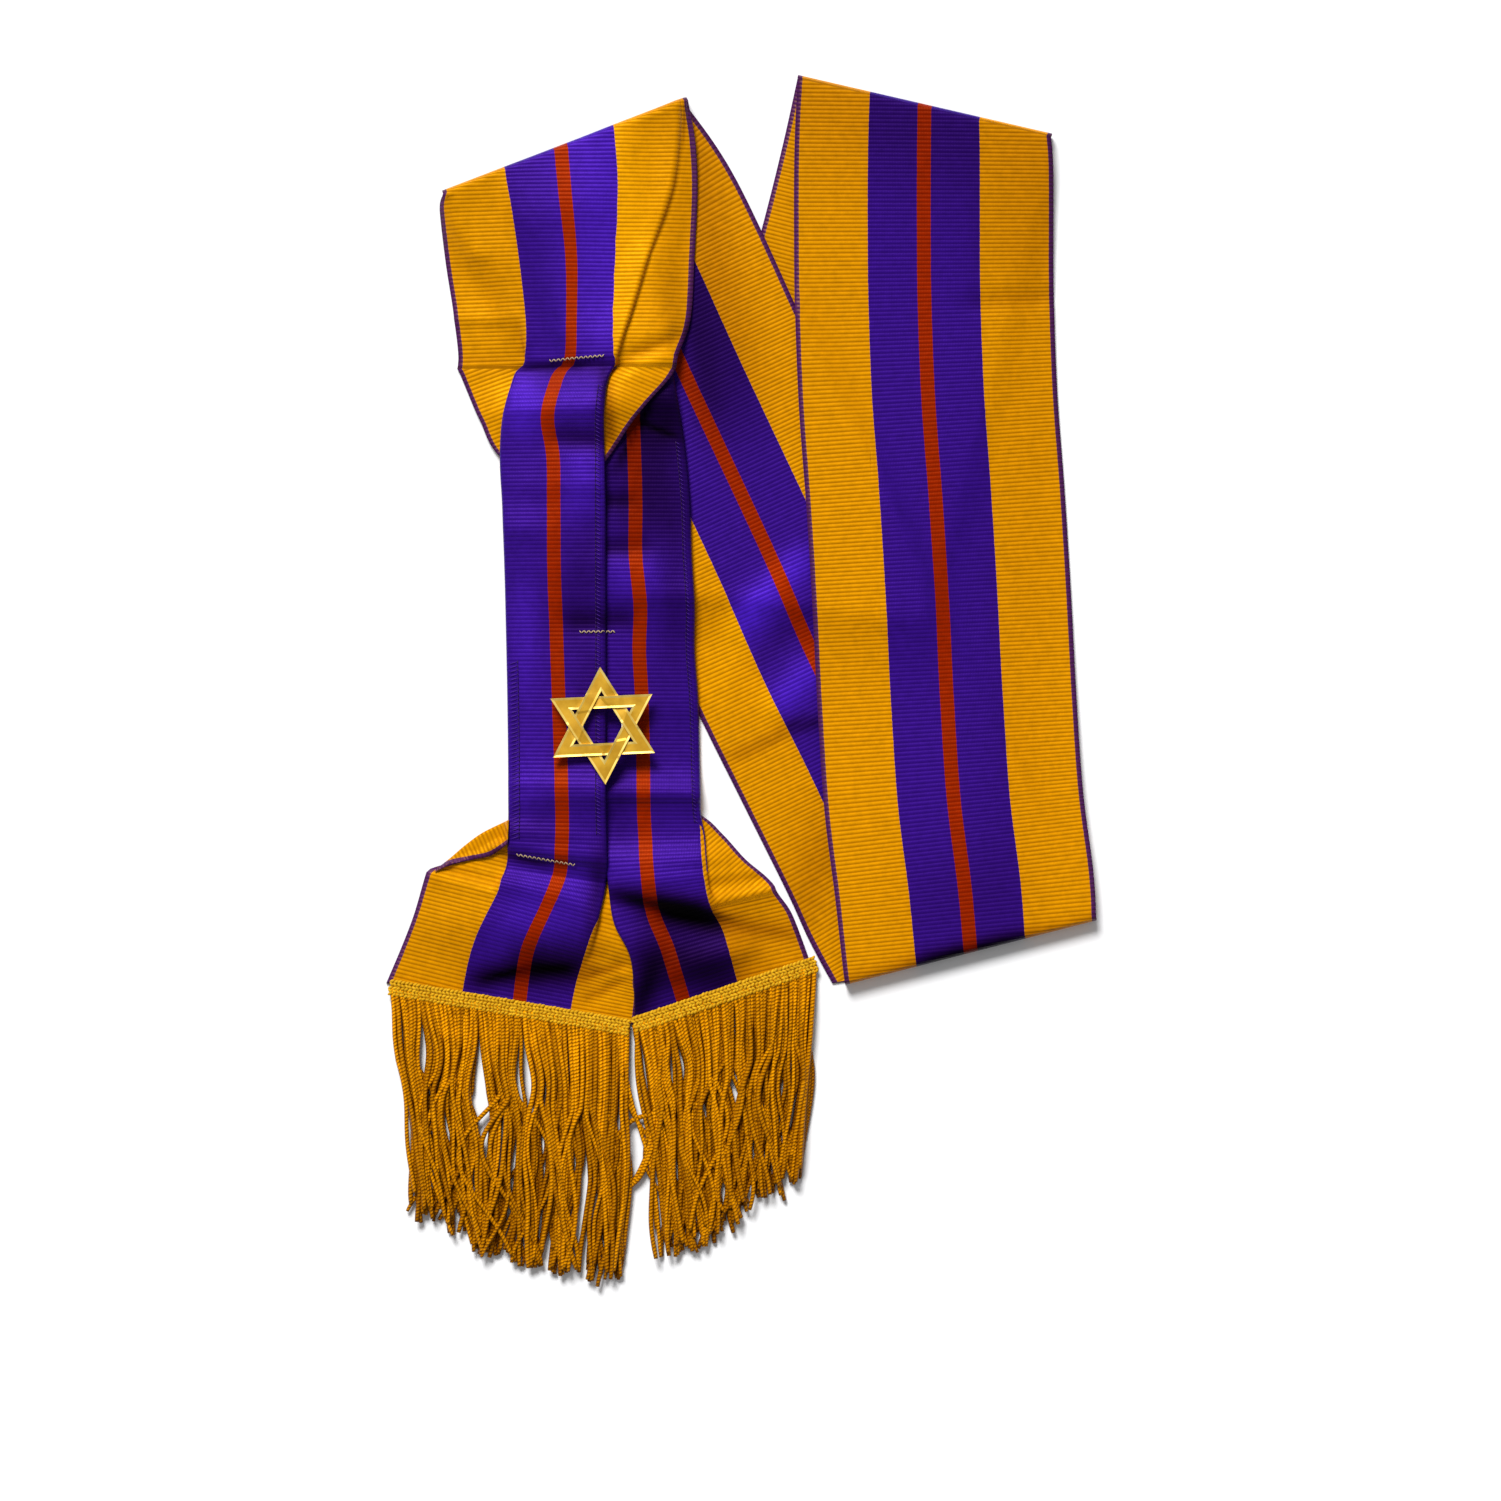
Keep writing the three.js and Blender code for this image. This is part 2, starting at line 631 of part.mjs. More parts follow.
// A woven heading with locks of cord fused to it.
function fringe({ heading, locks, tips }, tops) {
  const from = new THREE.Vector3(...heading.from, 0);
  const to = new THREE.Vector3(...heading.to, 0);
  const line = new THREE.Vector3().subVectors(to, from);
  const pitch = line.length() / locks;
  const rests = [0, 0.25, 0.5, 0.75, 1].map((at) => {
    const place = from.clone().lerp(to, at);
    return { at, z: highest(tops, place.x, place.y, line.length() / 8) };
  });
  const bar = rests.map(({ at, z }) =>
    lockSection(from.clone().lerp(to, at), line, HEADING.width / 0.8, z, z + HEADING.thickness),
  );
  let made = solid(loft(bar));
  for (let i = 0; i < locks; i += 1) {
    const at = (i + 0.5) / locks;
    const root = from.clone().lerp(to, at);
    const tip = new THREE.Vector3(read(tips, at, "x"), read(tips, at, "y"), 0);
    const run = new THREE.Vector3().subVectors(tip, root);
    const across = new THREE.Vector3(-run.y, run.x, 0).normalize();
    const bottom = read(rests, at, "z");
    const sections = [];
    for (let k = 0; k <= LOCK.steps; k += 1) {
      const f = k / LOCK.steps;
      const centre = root.clone().addScaledVector(run, f);
      centre.addScaledVector(across, LOCK.sway * Math.sin(f * Math.PI * 1.5 + i * 1.9) * f);
      const width = pitch * (LOCK.rootWidth + (LOCK.tipWidth - LOCK.rootWidth) * f);
      const settle = Math.min(1, f * 3);
      const floor = (bottom + 0.3) * (1 - settle);
      sections.push(lockSection(centre, run, width, floor, floor + LOCK.thickness - 0.9 * (1 - settle)));
    }
    made = made.add(solid(loft(sections)));
  }
  return geometryOf(made);
}

// Corners of a triangle of the star, on a circle of the given radius.
function trianglePath(radius, turn) {
  return [0, 1, 2].map((i) => {
    const angle = turn + (i * 2 * Math.PI) / 3;
    return new THREE.Vector2(radius * Math.cos(angle), radius * Math.sin(angle));
  });
}

// The flat frame of one triangle of the star.
function triangleFrame(turn, height) {
  const shape = new THREE.Shape(trianglePath(STAR_RADIUS, turn));
  shape.holes.push(new THREE.Path(trianglePath(STAR_RADIUS - 2 * STAR_BAR, turn)));
  return solid(new THREE.ExtrudeGeometry(shape, { depth: height, bevelEnabled: false }));
}

// The raised stretch of a bar where it passes over the other triangle's bar.
function overpass(turn, edge, end) {
  const along = turn + (edge * 2 * Math.PI) / 3;
  const distance = STAR_RADIUS / 2 - STAR_BAR / 2;
  const crossing = (STAR_RADIUS / 2) * Math.tan(Math.PI / 6);
  const pad = new THREE.BoxGeometry(STAR_BAR * 0.96, STAR_BAR * 1.7, STAR_RELIEF + 0.4);
  pad.translate(distance, end * (crossing + STAR_BAR * 0.1), STAR_THICKNESS + (STAR_RELIEF - 0.4) / 2);
  pad.rotateZ(along + Math.PI / 3);
  return solid(pad);
}

// Two interlaced triangles of gilt metal, with the bars of a brooch pin soldered behind.
// The star stands at a height over the table, and its bars reach down to the ribbon.
function star(height, tops) {
  const up = Math.PI / 2;
  let made = triangleFrame(up, STAR_THICKNESS).add(triangleFrame(-up, STAR_THICKNESS));
  for (let edge = 0; edge < 3; edge += 1) {
    made = made.add(overpass(up, edge, 1)).add(overpass(-up, edge, 1));
  }
  for (const bar of PIN_BARS) {
    const depth = height - highest(tops, STAR_PLACE.x + bar.x, STAR_PLACE.y, bar.length / 2);
    const block = new THREE.BoxGeometry(bar.width, bar.length, depth + 0.6);
    block.translate(bar.x, 0, 0.6 / 2 - depth / 2);
    made = made.add(solid(block));
  }
  return geometryOf(made);
}

function material(color, roughness, metalness) {
  return new THREE.MeshStandardMaterial({ color, roughness, metalness, flatShading: true });
}

const sash = new THREE.Group();

const tops = new HeightMap(0);
const ribbon = new THREE.Mesh(wall(ribbonRows(tops), WALL), material(RIBBON_COLOUR, 0.6, 0));
ribbon.name = "sash_ribbon";
sash.add(ribbon);

for (const plan of FRINGES) {
  const piece = new THREE.Mesh(fringe(plan, tops), material(FRINGE_COLOUR, 0.7, 0));
  piece.name = plan.name;
  sash.add(piece);
}

const starHeight = highest(tops, STAR_PLACE.x, STAR_PLACE.y, STAR_RADIUS);
const badge = new THREE.Mesh(star(starHeight, tops), material(STAR_COLOUR, 0.3, 0.9));
badge.name = "star_badge";
badge.position.set(STAR_PLACE.x - CENTRE.x, STAR_PLACE.y - CENTRE.y, starHeight);
badge.rotation.z = STAR_TILT;
sash.add(badge);

export default sash;
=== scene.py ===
"""Looks of a ceremonial sash that lies folded on a table: striped ribbon, corded fringes and a gilt star."""

import logging
import math
from dataclasses import dataclass
from enum import Enum
from typing import Callable, NamedTuple

import bpy
import numpy as np
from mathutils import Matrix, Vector

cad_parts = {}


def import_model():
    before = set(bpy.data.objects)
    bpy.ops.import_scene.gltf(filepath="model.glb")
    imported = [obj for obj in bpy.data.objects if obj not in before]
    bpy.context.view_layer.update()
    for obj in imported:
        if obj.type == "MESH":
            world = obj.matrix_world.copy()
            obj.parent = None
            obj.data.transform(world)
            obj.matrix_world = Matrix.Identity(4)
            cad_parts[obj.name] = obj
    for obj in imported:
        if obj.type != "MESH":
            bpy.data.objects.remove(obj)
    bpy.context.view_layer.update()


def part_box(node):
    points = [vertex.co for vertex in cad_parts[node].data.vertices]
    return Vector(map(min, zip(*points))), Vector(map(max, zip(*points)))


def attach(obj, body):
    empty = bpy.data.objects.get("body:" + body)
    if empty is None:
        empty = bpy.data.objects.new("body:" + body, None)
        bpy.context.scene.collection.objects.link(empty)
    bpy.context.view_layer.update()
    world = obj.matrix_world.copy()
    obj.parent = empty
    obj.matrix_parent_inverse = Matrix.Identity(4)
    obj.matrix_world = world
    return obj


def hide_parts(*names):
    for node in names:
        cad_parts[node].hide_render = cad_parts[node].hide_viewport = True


LOG = logging.getLogger("sash")
MM = 0.001
CENTRE = np.array([0.31, 1.17])  # the table's measuring point, from the middle of the sash's box
STRIPE_EDGE = 21.6  # centre line to where purple turns to gold
HALF_WIDTH = 50.0
RIB_PITCH = 1.62
UP = np.array([0, 0, 1.0])
SLANT = math.radians(30)  # of the star's crossings
# the last of these is the cloth's painted light and shade
CLOTH_VALUES = ("cloth_width", "cloth_ribs", "flap_ribs", "cloth_painted_light")
CORD_VALUES = ("sideways", "upward", "run", "shade")
Array = np.ndarray
Value = float | Array
Piece = bpy.types.Object
Socket = bpy.types.NodeSocket
Colour = tuple[float, float, float]
Place = tuple[float, float]
Point = tuple[float, float, float]


class Section(NamedTuple):
    """A crosswise section of ribbon, in millimetres and degrees, with its left side 1 and its right side 2.

    lift is how far a side lies above what is under it, in is the centre line to the purple's edge, out is
    the centre line to the selvedge where the ribbon lies open, and t is how far a pleat draws that side in.
    """

    x: float
    y: float
    turn: float
    lift1: float
    lift2: float
    in1: float = STRIPE_EDGE
    out1: float = HALF_WIDTH
    t1: float = 0.0
    in2: float = STRIPE_EDGE
    out2: float = HALF_WIDTH
    t2: float = 0.0


def section_rows(*rows: tuple[float, ...]) -> list[Section]:
    """Turns rows of numbers, in the order of a section's fields, into sections."""
    return [Section(*row) for row in rows]


FRONT_TAIL = section_rows(
    (-87, -126.5, -9.5, 0, 0, 23, 53, 0, 20, 46, 0),
    (-85.6, -114, -12, 0.3, 0.2, 22, 48.8, 0, 21, 46, 0),
    (-83.4, -103, -15, 1.0, 0.4, 20.5, 46.5, 0, 22, 44, 0),
    (-76, -87, -15, 0.8, 0.2, 20, 49, 0, 19.8, 43, 4),
    (-71.2, -75, -8, 0.2, 0.2, 20.2, 49, 11, 17.3, 46, 30),
    (-70.2, -63.5, -3, 0, 0, 20.3, 50, 27, 16, 50, 52),
    (-70.1, -45.9, 0, 0, 0, 20.2, 50, 60, 15.5, 50, 64),
    (-71.4, -6.7, 0, 0, 0, 19.3, 50, 62, 16.8, 50, 64),
    (-73, 40, 0, 0, 0, 18.7, 50, 62, 18.4, 50, 62),
    (-73.2, 68, 0, 0, 0, 19.4, 50, 60, 18.6, 50, 46),
    (-73.4, 87.4, 0, 0, 0, 20.2, 50, 30, 18.8, 50, 29),
    (-75.6, 103.1, 0, 0, 0, 17, 50, 23, 21, 50, 16),
    (-72.6, 116.8, 0, 0, 0, 16.6, 50, 14, 19.4, 50, 7),
    (-70.3, 121.8, 0, 0, 0, 17, 47, 9.6, 18.7, 46, 4),
    (-66.8, 126.6, 0, 0, 0, 16.7, 45.5, 3, 16.9, 41.5, 1),
    (-66.2, 142.3, 0, 0, 0, 18.2, 46.4, 0, 16, 46.5, 0),
    (-66.2, 165.8, 3, 0.4, 0, 20.6, 49.6, 0, 16.7, 48.2, 0),
    (-68.6, 189.3, 7, 0.3, 0, 21.5, 49.6, 0, 20.3, 51.9, 0),
    (-70.4, 208.7, 21, 0.3, 0.3, 23.5, 49.4, 0, 22, 54, 0),
)
UNDER_DIAGONAL = section_rows(
    (-70.4, 208.7, 21, 0, 0, 21.6, 48.6, 0, 21.6, 50, 0),
    (-48, 175, 25, 0, 0),
    (-20, 118, 25, 0, 0),
    (2, 74, 22, 0, 0),
    (13, 47, 12, 0.2, 0.2),
    (21, 30, -6, 0.5, 0.5),
)
BACK = section_rows(
    (21, 30, -6, 0, 0),
    (29, 62, -10, 0, 0),
    (43, 112, -13, 0, 0),
    (58, 168, -12, 0, 0),
    (66, 200, -12, 0, 0),
    (71.5, 224.8, -13, 0, 0),
)
RIGHT_FRONT = section_rows(
    (71.5, 224.8, -13, 4.0, 4.0),
    (71.3, 203, -4, 3.4, 3.4),
    (71.3, 178, 0.5, 2.4, 2.2),
    (71.6, 150, 1.5, 1.2, 0.8),
    (73.1, 110.9, 2.8, 0.4, 0.2),
    (76, 71.7, 3.5, 0.2, 0.2),
    (78.4, 32.5, 3.3, 0.2, 0.4),
    (80.4, -6.7, 3.2, 1.0, 1.6),
    (83, -45.9, 4.5, 3.0, 3.2),
    (87.1, -79, 8, 4.4, 4.4),
    (89.4, -104, 14.4, 4.8, 4.8),
)
DIAGONAL = section_rows(
    (89.4, -104, 14.4, 0, 0, 21.6, 55, 0, 21.6, 50, 0),
    (76, -83, 19, 0, 0, 21.6, 52.2, 0, 21.6, 50, 0),
    (64, -63, 23, 0, 0, 21.6, 49.4, 0, 21.6, 50, 0),
    (45.7, -24.7, 25, 0, 0),
    (27.6, 12, 26, 0, 0),
    (10, 52.1, 26, 0, 0),
    (-17.6, 110.9, 25.5, 0, 0),
    (-47.6, 175.2, 25, 0, 0),
    (-70.4, 208.7, 21, 0, 0, 21.6, 48, 0, 21.6, 51, 0),
)
REAR_TAIL = section_rows(
    (-70.4, 208.7, 21, 1.2, 1.2, 22.5, 48.2, 0, 21.6, 51, 0),
    (-63, 189, 20, 0.6, 0.6, 21.6, 50, 3, 21, 49, 8),
    (-57, 172, 18, 0.2, 0.2, 21, 50, 14, 20, 50, 20),
    (-50, 148, 16, 0, 0, 20, 50, 36, 17, 50, 32),
    (-43.5, 124, 8, 0, 0, 18.9, 50, 60, 14.3, 50, 50),
    (-42.2, 97, 0, 0, 0, 20.5, 50, 60, 17.8, 50, 62),
    (-41.4, 71.7, 0, 0, 0, 21, 50, 60, 19.5, 50, 62),
    (-41.4, 50, 0, 0, 0, 21, 50, 60, 20.3, 50, 60),
    (-39.5, 30, 0, 0, 0, 21, 50, 60, 19.6, 50, 60),
    (-40, 13, 0, 0, 0, 21, 50, 60, 20, 50, 60),
    (-39, -6.7, 0, 0, 0, 21, 50, 60, 20.4, 50, 60),
    (-38.4, -36, 0, 0, 0, 21, 50, 60, 20.6, 50, 58),
    (-38.2, -51, 0, 0, 0, 20.4, 50, 60, 21, 50, 29),
    (-37.7, -60, 1, 0, 0.2, 18.4, 50, 60, 22.2, 50, 19.6),
    (-37, -72, 4, 0, 0.2, 15, 50, 60, 22.5, 50, 11.3),
    (-34.7, -90, 12, 0.3, 0.3, 14.8, 50, 60, 22.3, 48.8, 0),
    (-28.8, -104.7, 16, 0.3, 0.3, 14, 50, 60, 22.8, 50.6, 0),
    (-21.8, -127.8, 18.7, 0, 0, 20, 50, 60, 22.2, 52, 0),
)
FAN_TOP = -73.0  # below this the front tail lies under the rear one


class PleatRow(NamedTuple):
    """Where a shallow pleat crosses the right gold stripe of the upper front tail."""

    y: float
    place: float
    tuck: float


UPPER_PLEAT = [
    PleatRow(126.6, 21.6, 3.0),
    PleatRow(142.3, 26.2, 2.2),
    PleatRow(165.8, 32.1, 1.5),
    PleatRow(189.3, 39.5, 1.1),
    PleatRow(208.7, 44.2, 0.9),
]


class Lay(Enum):
    """Which stretch of the ribbon a thing belongs to, in the order along the cloth."""

    FRONT_TAIL = "front tail"
    UNDER_DIAGONAL = "under the diagonal"
    BACK = "back"
    RIGHT_FRONT = "right front"
    DIAGONAL = "diagonal"
    REAR_TAIL = "rear tail"


@dataclass(frozen=True)
class FlapGrain:
    """The direction of the ribs on a gold flap, which can differ from the middle's."""

    lay: Lay
    side: int
    low: float
    high: float
    angle: float

    def phase(self, x: Array, y: Array) -> Array:
        """Gives the distance across the ribs at places."""
        turn = math.radians(self.angle)
        return y * math.cos(turn) - x * math.sin(turn)


GRAINS = (
    FlapGrain(Lay.FRONT_TAIL, -1, 124, 215, 2),
    FlapGrain(Lay.FRONT_TAIL, 1, 124, 215, 0),
    FlapGrain(Lay.FRONT_TAIL, -1, 84, 124, 20),
    FlapGrain(Lay.FRONT_TAIL, 1, 84, 124, -22),
    FlapGrain(Lay.FRONT_TAIL, -1, -130, -50, -14),
    FlapGrain(Lay.REAR_TAIL, 1, -93, -45, 40),
    FlapGrain(Lay.REAR_TAIL, 1, -130, -93, 13),
)


@dataclass(frozen=True)
class Crease:
    """A dent or ridge in the cloth's front, as an oval on the table, in millimetres and degrees.

    A ledge falls at once on its lower side and comes back slowly over its width. The tone is painted light
    and shade: it darkens the purple in dents and folds and lightens it on bright patches, as light would;
    gold and red follow it by a part. A crease with no height is only such a patch of painted light and
    shade.
    """

    x: float
    y: float
    angle: float
    length: float
    width: float
    tone: float
    height: float = 0.0
    ledge: bool = False

    def share(self, x: Array, y: Array) -> Array:
        """Gives how much of the crease there is at places.

        Args:
            x: places to the right.
            y: places away from the viewer.

        Returns:
            A share from 0 to 1 at each place.
        """
        turn = math.radians(self.angle)
        along = (x - self.x) * math.cos(turn) + (y - self.y) * math.sin(turn)
        across = -(x - self.x) * math.sin(turn) + (y - self.y) * math.cos(turn)
        fade = np.exp(-((2 * along / self.length) ** 4))
        if self.ledge:
            below = np.maximum(-across, 0) / self.width
            return fade * np.minimum(1, below * 6) * np.exp(-((below * 1.2) ** 2))
        return fade * np.exp(-((2 * across / self.width) ** 2))


# the rows hold a crease's x, y, angle, length, width, tone (painted light and shade), height and whether it
# is a ledge
CREASES = {
    Lay.FRONT_TAIL: (
        (-56, 175.6, 96, 117.6, 34, 1.6),
        (-39.8, 187.4, 100, 58.8, 19.6, 1.35),
        (-25.7, 163.9, 80, 58.8, 23.5, 0.85),
        (-106.4, 150.1, 95, 101.9, 23.5, 1.1),
        (-36, 130, 24, 34, 5, 0.6, -1.2),
        (-34, 125, 24, 34, 7, 1.3, 0.9),
        (-103, 126, -4, 34, 5, 0.6, -0.7),
        (-51.5, 105.1, 96, 37.2, 5.9, 0.14, -1.0),
        (-68, 125.5, 3, 40, 12, 0.55, -2.6, True),
        (-71.1, 124.3, 2, 43.1, 4.3, 0.35),
        (-72, 104, 0, 60, 18, 1.0, 1.2),
        (-84.5, 107.8, 90, 35.3, 20.4, 1.8),
        (-64.5, 110.9, 90, 23.5, 15.7, 1.25),
        (-63.3, 94.9, -6, 25.9, 10.2, 0.38, -1.2),
        (-86.8, 93.3, 0, 19.6, 11.8, 0.75),
        (-62.5, 78.8, 88, 31.4, 17.2, 1.5, 0.9),
        (-85.3, 56.1, 90, 51.0, 10.2, 1.05, 0.4),
        (-61.7, 37.2, 78, 51.0, 18.8, 0.68, -0.8),
        (-56.6, 23.9, 0, 29.8, 9.4, 0.35, -1.0),
        (-84.5, 16.9, 90, 47.0, 10.2, 1.4, 0.4),
        (-59.4, -6.7, 90, 47.0, 15.7, 0.7),
        (-83.7, -34.1, 80, 47.0, 15.7, 1.25),
        (-86, -56, 0, 30, 14, 0.75, -1.0),
        (-80, -66.5, -9, 50, 10, 1.0, -2.6, True),
        (-85.3, -69.0, -13, 24.3, 3.5, 0.2),
        (-57.0, -85.1, 84, 51.0, 7.8, 0.45),
        (-71.1, -87.0, 60, 35.3, 23.5, 1.35),
        (-88, -93, 62, 34, 18, 1.3),
        (-78, -95, -6, 90, 26, 1.0, 3.4),
        (-74, -112, 0, 34, 18, 0.0, -2.4),
        (-93, -114.2, 12, 32, 11, 0.0, -0.8),
        (-53.9, -112.9, 17, 19.6, 3.9, 0.3, -0.8),
        (-54.7, -120.7, 24, 19.6, 3.9, 0.4, -0.8),
        (-22.6, 218, 89, 17, 1.1, 0.3),
    ),
    Lay.REAR_TAIL: (
        (-28.8, 107.8, 90, 31.4, 27.4, 0.25),
        (-41.2, 98.4, 62, 34, 5, 0.04),
        (-32.3, 98.8, -21.5, 17, 2.6, 0.08, -0.3),
        (-35.9, 83.5, 90, 58.8, 43.1, 0.3),
        (-48.4, 71.0, 0, 15.7, 6.3, 0.4, -0.6),
        (-46.8, 52.9, 2, 23.5, 7.8, 0.4, -1.0),
        (-42.9, 40.4, 0, 23.5, 18.0, 1.35, 1.0),
        (-25.7, 36.5, 90, 66.6, 14.1, 0.65),
        (-48.8, 24.7, 0, 15.7, 9.4, 0.4, -0.8),
        (-33.9, -6.7, 90, 47.0, 27.4, 0.9),
        (-47.6, -45.9, 90, 47.0, 11.8, 0.75),
        (-32, -76, -8, 60, 18, 1.25, 2.4),
        (-28, -86.2, -11, 44, 18, 1.0, -3.4, True),
        (-30, -86.6, -11, 52, 9, 0.02),
        (-21.5, -91.6, -11, 38, 15, 0.0),
        (-20.2, -110.5, -14, 51.0, 29.8, 0.16),
        (-37.8, -120.3, 70, 31.4, 13.3, 0.12, -1.0),
        (5.7, -96.4, -8, 40, 8, 0.3, -0.6),
        (8, -104, 15, 60, 26, 0.75),
        (-9.2, -89.4, -14, 13.3, 5.1, 1.8, 0.8),
    ),
    Lay.RIGHT_FRONT: (
        (71.9, 218.7, -13, 172.5, 60, 0.55),
        (111, 60, 87, 330, 34, 0.82),
        (87, -84, 10, 56, 40, 0.8),
        (107.6, 173.7, -4, 35.3, 43.1, 0.75),
        (106, 150, 4, 36, 6, 0.6, -0.9),
        (91.7, -104.8, 13.5, 156.8, 8, 0.42),
        (90, -105, 13.5, 54, 8.5, 0.02),
        (70, 60, 80, 160, 60, 1.0, 0.9),
    ),
    Lay.DIAGONAL: (
        (-11.6, 169.7, 102, 149.0, 28, 0.42),
        (-16.3, 130.5, 100, 70.6, 18.0, 0.4),
        (11.6, 35.7, 45, 43.1, 13.3, 2.3, 0.8),
        (21.8, -1.2, 45, 32.9, 13.3, 2.1, 0.8),
        (-5.7, 9, 60, 50, 22, 1.35),
        (24, -69, 65, 50, 24, 0.72),
        (15.1, 16.9, 40, 39.2, 7.8, 0.75, -0.4),
        (25.3, -16.1, 8, 27.4, 7.1, 0.35, -0.8),
        (6.1, -24.7, 24, 29.8, 5.1, 0.28, -0.9),
        (27.6, -81.1, 70, 51.0, 15.7, 0.6),
    ),
}


@dataclass
class Cloth:
    """A grid of points over a stretch of ribbon: rows along its length, columns from the left edge."""

    x: Array
    y: Array
    depth: Array
    lift: Array
    share: Array
    pleated: Array
    width: Array
    ribs: Array
    flap_ribs: Array
    # painted light and shade, from the creases
    tone: Array
    front: Array
    z: Array

    def part(self, rows: slice) -> "Cloth":
        """Gives some of the rows as a view on the same values."""
        return Cloth(*(getattr(self, name)[rows] for name in self.__dataclass_fields__))


@dataclass
class HeightMap:
    """Heights over the table in square cells."""

    empty: float
    cell: float = 1.5
    left: float = -156.0
    low: float = -156.0
    columns: int = 210
    rows: int = 275

    def __post_init__(self) -> None:
        """Starts with every cell empty."""
        self.values = np.full((self.rows, self.columns), self.empty)

    def places(self, x: Array, y: Array) -> tuple[Array, Array]:
        """Gives the row and column of the cells at places.

        Args:
            x: places to the right.
            y: places away from the viewer.

        Returns:
            The rows and the columns.
        """
        i = np.rint((x - self.left) / self.cell).astype(int)
        j = np.rint((y - self.low) / self.cell).astype(int)
        return np.clip(j, 0, self.rows - 1), np.clip(i, 0, self.columns - 1)

    def lift(self, x: Array, y: Array, height: Array) -> None:
        """Raises the cells at places to at least the height given for each."""
        np.maximum.at(self.values, self.places(x, y), height)

    def near(self, x: Array, y: Array) -> Array:
        """Reads the cells at places, without blending."""
        return self.values[self.places(x, y)]

    def at(self, x: Array, y: Array) -> Array:
        """Reads the heights at places, blended between cells.

        Args:
            x: places to the right.
            y: places away from the viewer.

        Returns:
            The height at each place.
        """
        u = np.clip((x - self.left) / self.cell, 0, self.columns - 1.001)
        v = np.clip((y - self.low) / self.cell, 0, self.rows - 1.001)
        i, j = u.astype(int), v.astype(int)
        u, v = u - i, v - j
        low = self.values[j, i] * (1 - u) + self.values[j, i + 1] * u
        high = self.values[j + 1, i] * (1 - u) + self.values[j + 1, i + 1] * u
        return low * (1 - v) + high * v

    def spread(self, radius: int, blend: bool) -> "HeightMap":
        """Combines the filled cells within a radius.

        Args:
            radius: the reach, in cells.
            blend: whether to average; otherwise the highest counts.

        Returns:
            A new map.
        """
        total = np.zeros_like(self.values)
        count = np.zeros_like(self.values)
        highest = np.full_like(self.values, self.empty)
        for b in range(-radius, radius + 1):
            for a in range(-radius, radius + 1):
                if a * a + b * b > radius * radius + 1:
                    continue
                moved = np.roll(self.values, (b, a), (0, 1))
                filled = moved != self.empty
                total += np.where(filled, moved, 0)
                count += filled
                highest = np.where(filled, np.maximum(highest, moved), highest)
        made = HeightMap(self.empty)
        average = np.where(count > 0, total / np.maximum(count, 1), self.empty)
        made.values = average if blend else highest
        return made

    def highest(self, x: float, y: float, distance: float) -> float:
        """Gives the greatest height within a distance of a place.

        Args:
            x: the place to the right.
            y: the place away from the viewer.
            distance: the reach.

        Returns:
            The height.
        """
        steps = np.arange(-distance, distance + 0.01, self.cell / 2)
        a, b = np.meshgrid(steps, steps)
        inside = np.hypot(a, b) <= distance
        return float(self.at(x + a[inside], y + b[inside]).max())


def mesh_piece(name: str, points: Array, faces: Array) -> Piece:
    """Makes an object from points in table millimetres.

    Args:
        name: the piece's name.
        points: the corners, one row each.
        faces: the corners' numbers, one row for each face.

    Returns:
        The new object, at the origin.
    """
    placed = np.array(points, float)
    placed[:, :2] -= CENTRE
    mesh = bpy.data.meshes.new(name)
    mesh.from_pydata((placed * MM).tolist(), [], faces.tolist())
    mesh.update()
    mesh.shade_smooth()
    piece = bpy.data.objects.new(name, mesh)
    bpy.context.scene.collection.objects.link(piece)
    return piece


def point_values(piece: Piece, name: str, values: Array | list[Array]) -> None:
    """Stores a number on each corner of a mesh for its material to read."""
    attribute = piece.data.attributes.new(name, "FLOAT", "POINT")
    attribute.data.foreach_set("value", np.array(values, np.float32).ravel())


def wall_faces(rows: int, columns: int) -> Array:
    """Gives the faces of a closed wall whose points are its front grid and then its back grid.

    Args:
        rows: rows in each grid.
        columns: points in each row.

    Returns:
        Faces of four corners.
    """
    i, j = (a.ravel() for a in np.meshgrid(np.arange(rows - 1), np.arange(columns - 1), indexing="ij"))
    a, under = i * columns + j, rows * columns
    faces = [np.stack([a, a + 1, a + columns + 1, a + columns], -1)]
    faces.append(under + np.stack([a, a + columns, a + columns + 1, a + 1], -1))
    left, first = np.arange(rows - 1) * columns, np.arange(columns - 1)
    right, last = left + columns - 1, first + (rows - 1) * columns
    for p, q in ((left, left + columns), (right + columns, right), (first + 1, first), (last, last + 1)):
        faces.append(np.stack([p, q, q + under, p + under], -1))
    return np.concatenate(faces)


def unit(vectors: Array) -> Array:
    """Gives vectors the length 1."""
    return vectors / np.linalg.norm(vectors, axis=-1, keepdims=True)


def smooth_step(share: Array) -> Array:
    """Eases shares from 0 to 1 at both ends."""
    return share * share * (3 - 2 * share)


def distance_along(path: Array) -> Array:
    """Gives how far along a path each of its points lies."""
    return np.concatenate([[0], np.cumsum(np.linalg.norm(np.diff(path, axis=0), axis=1))])


def ring_angles(sides: int) -> Array:
    """Gives the angles of a ring's points."""
    return np.linspace(0, 2 * np.pi, sides, endpoint=False)


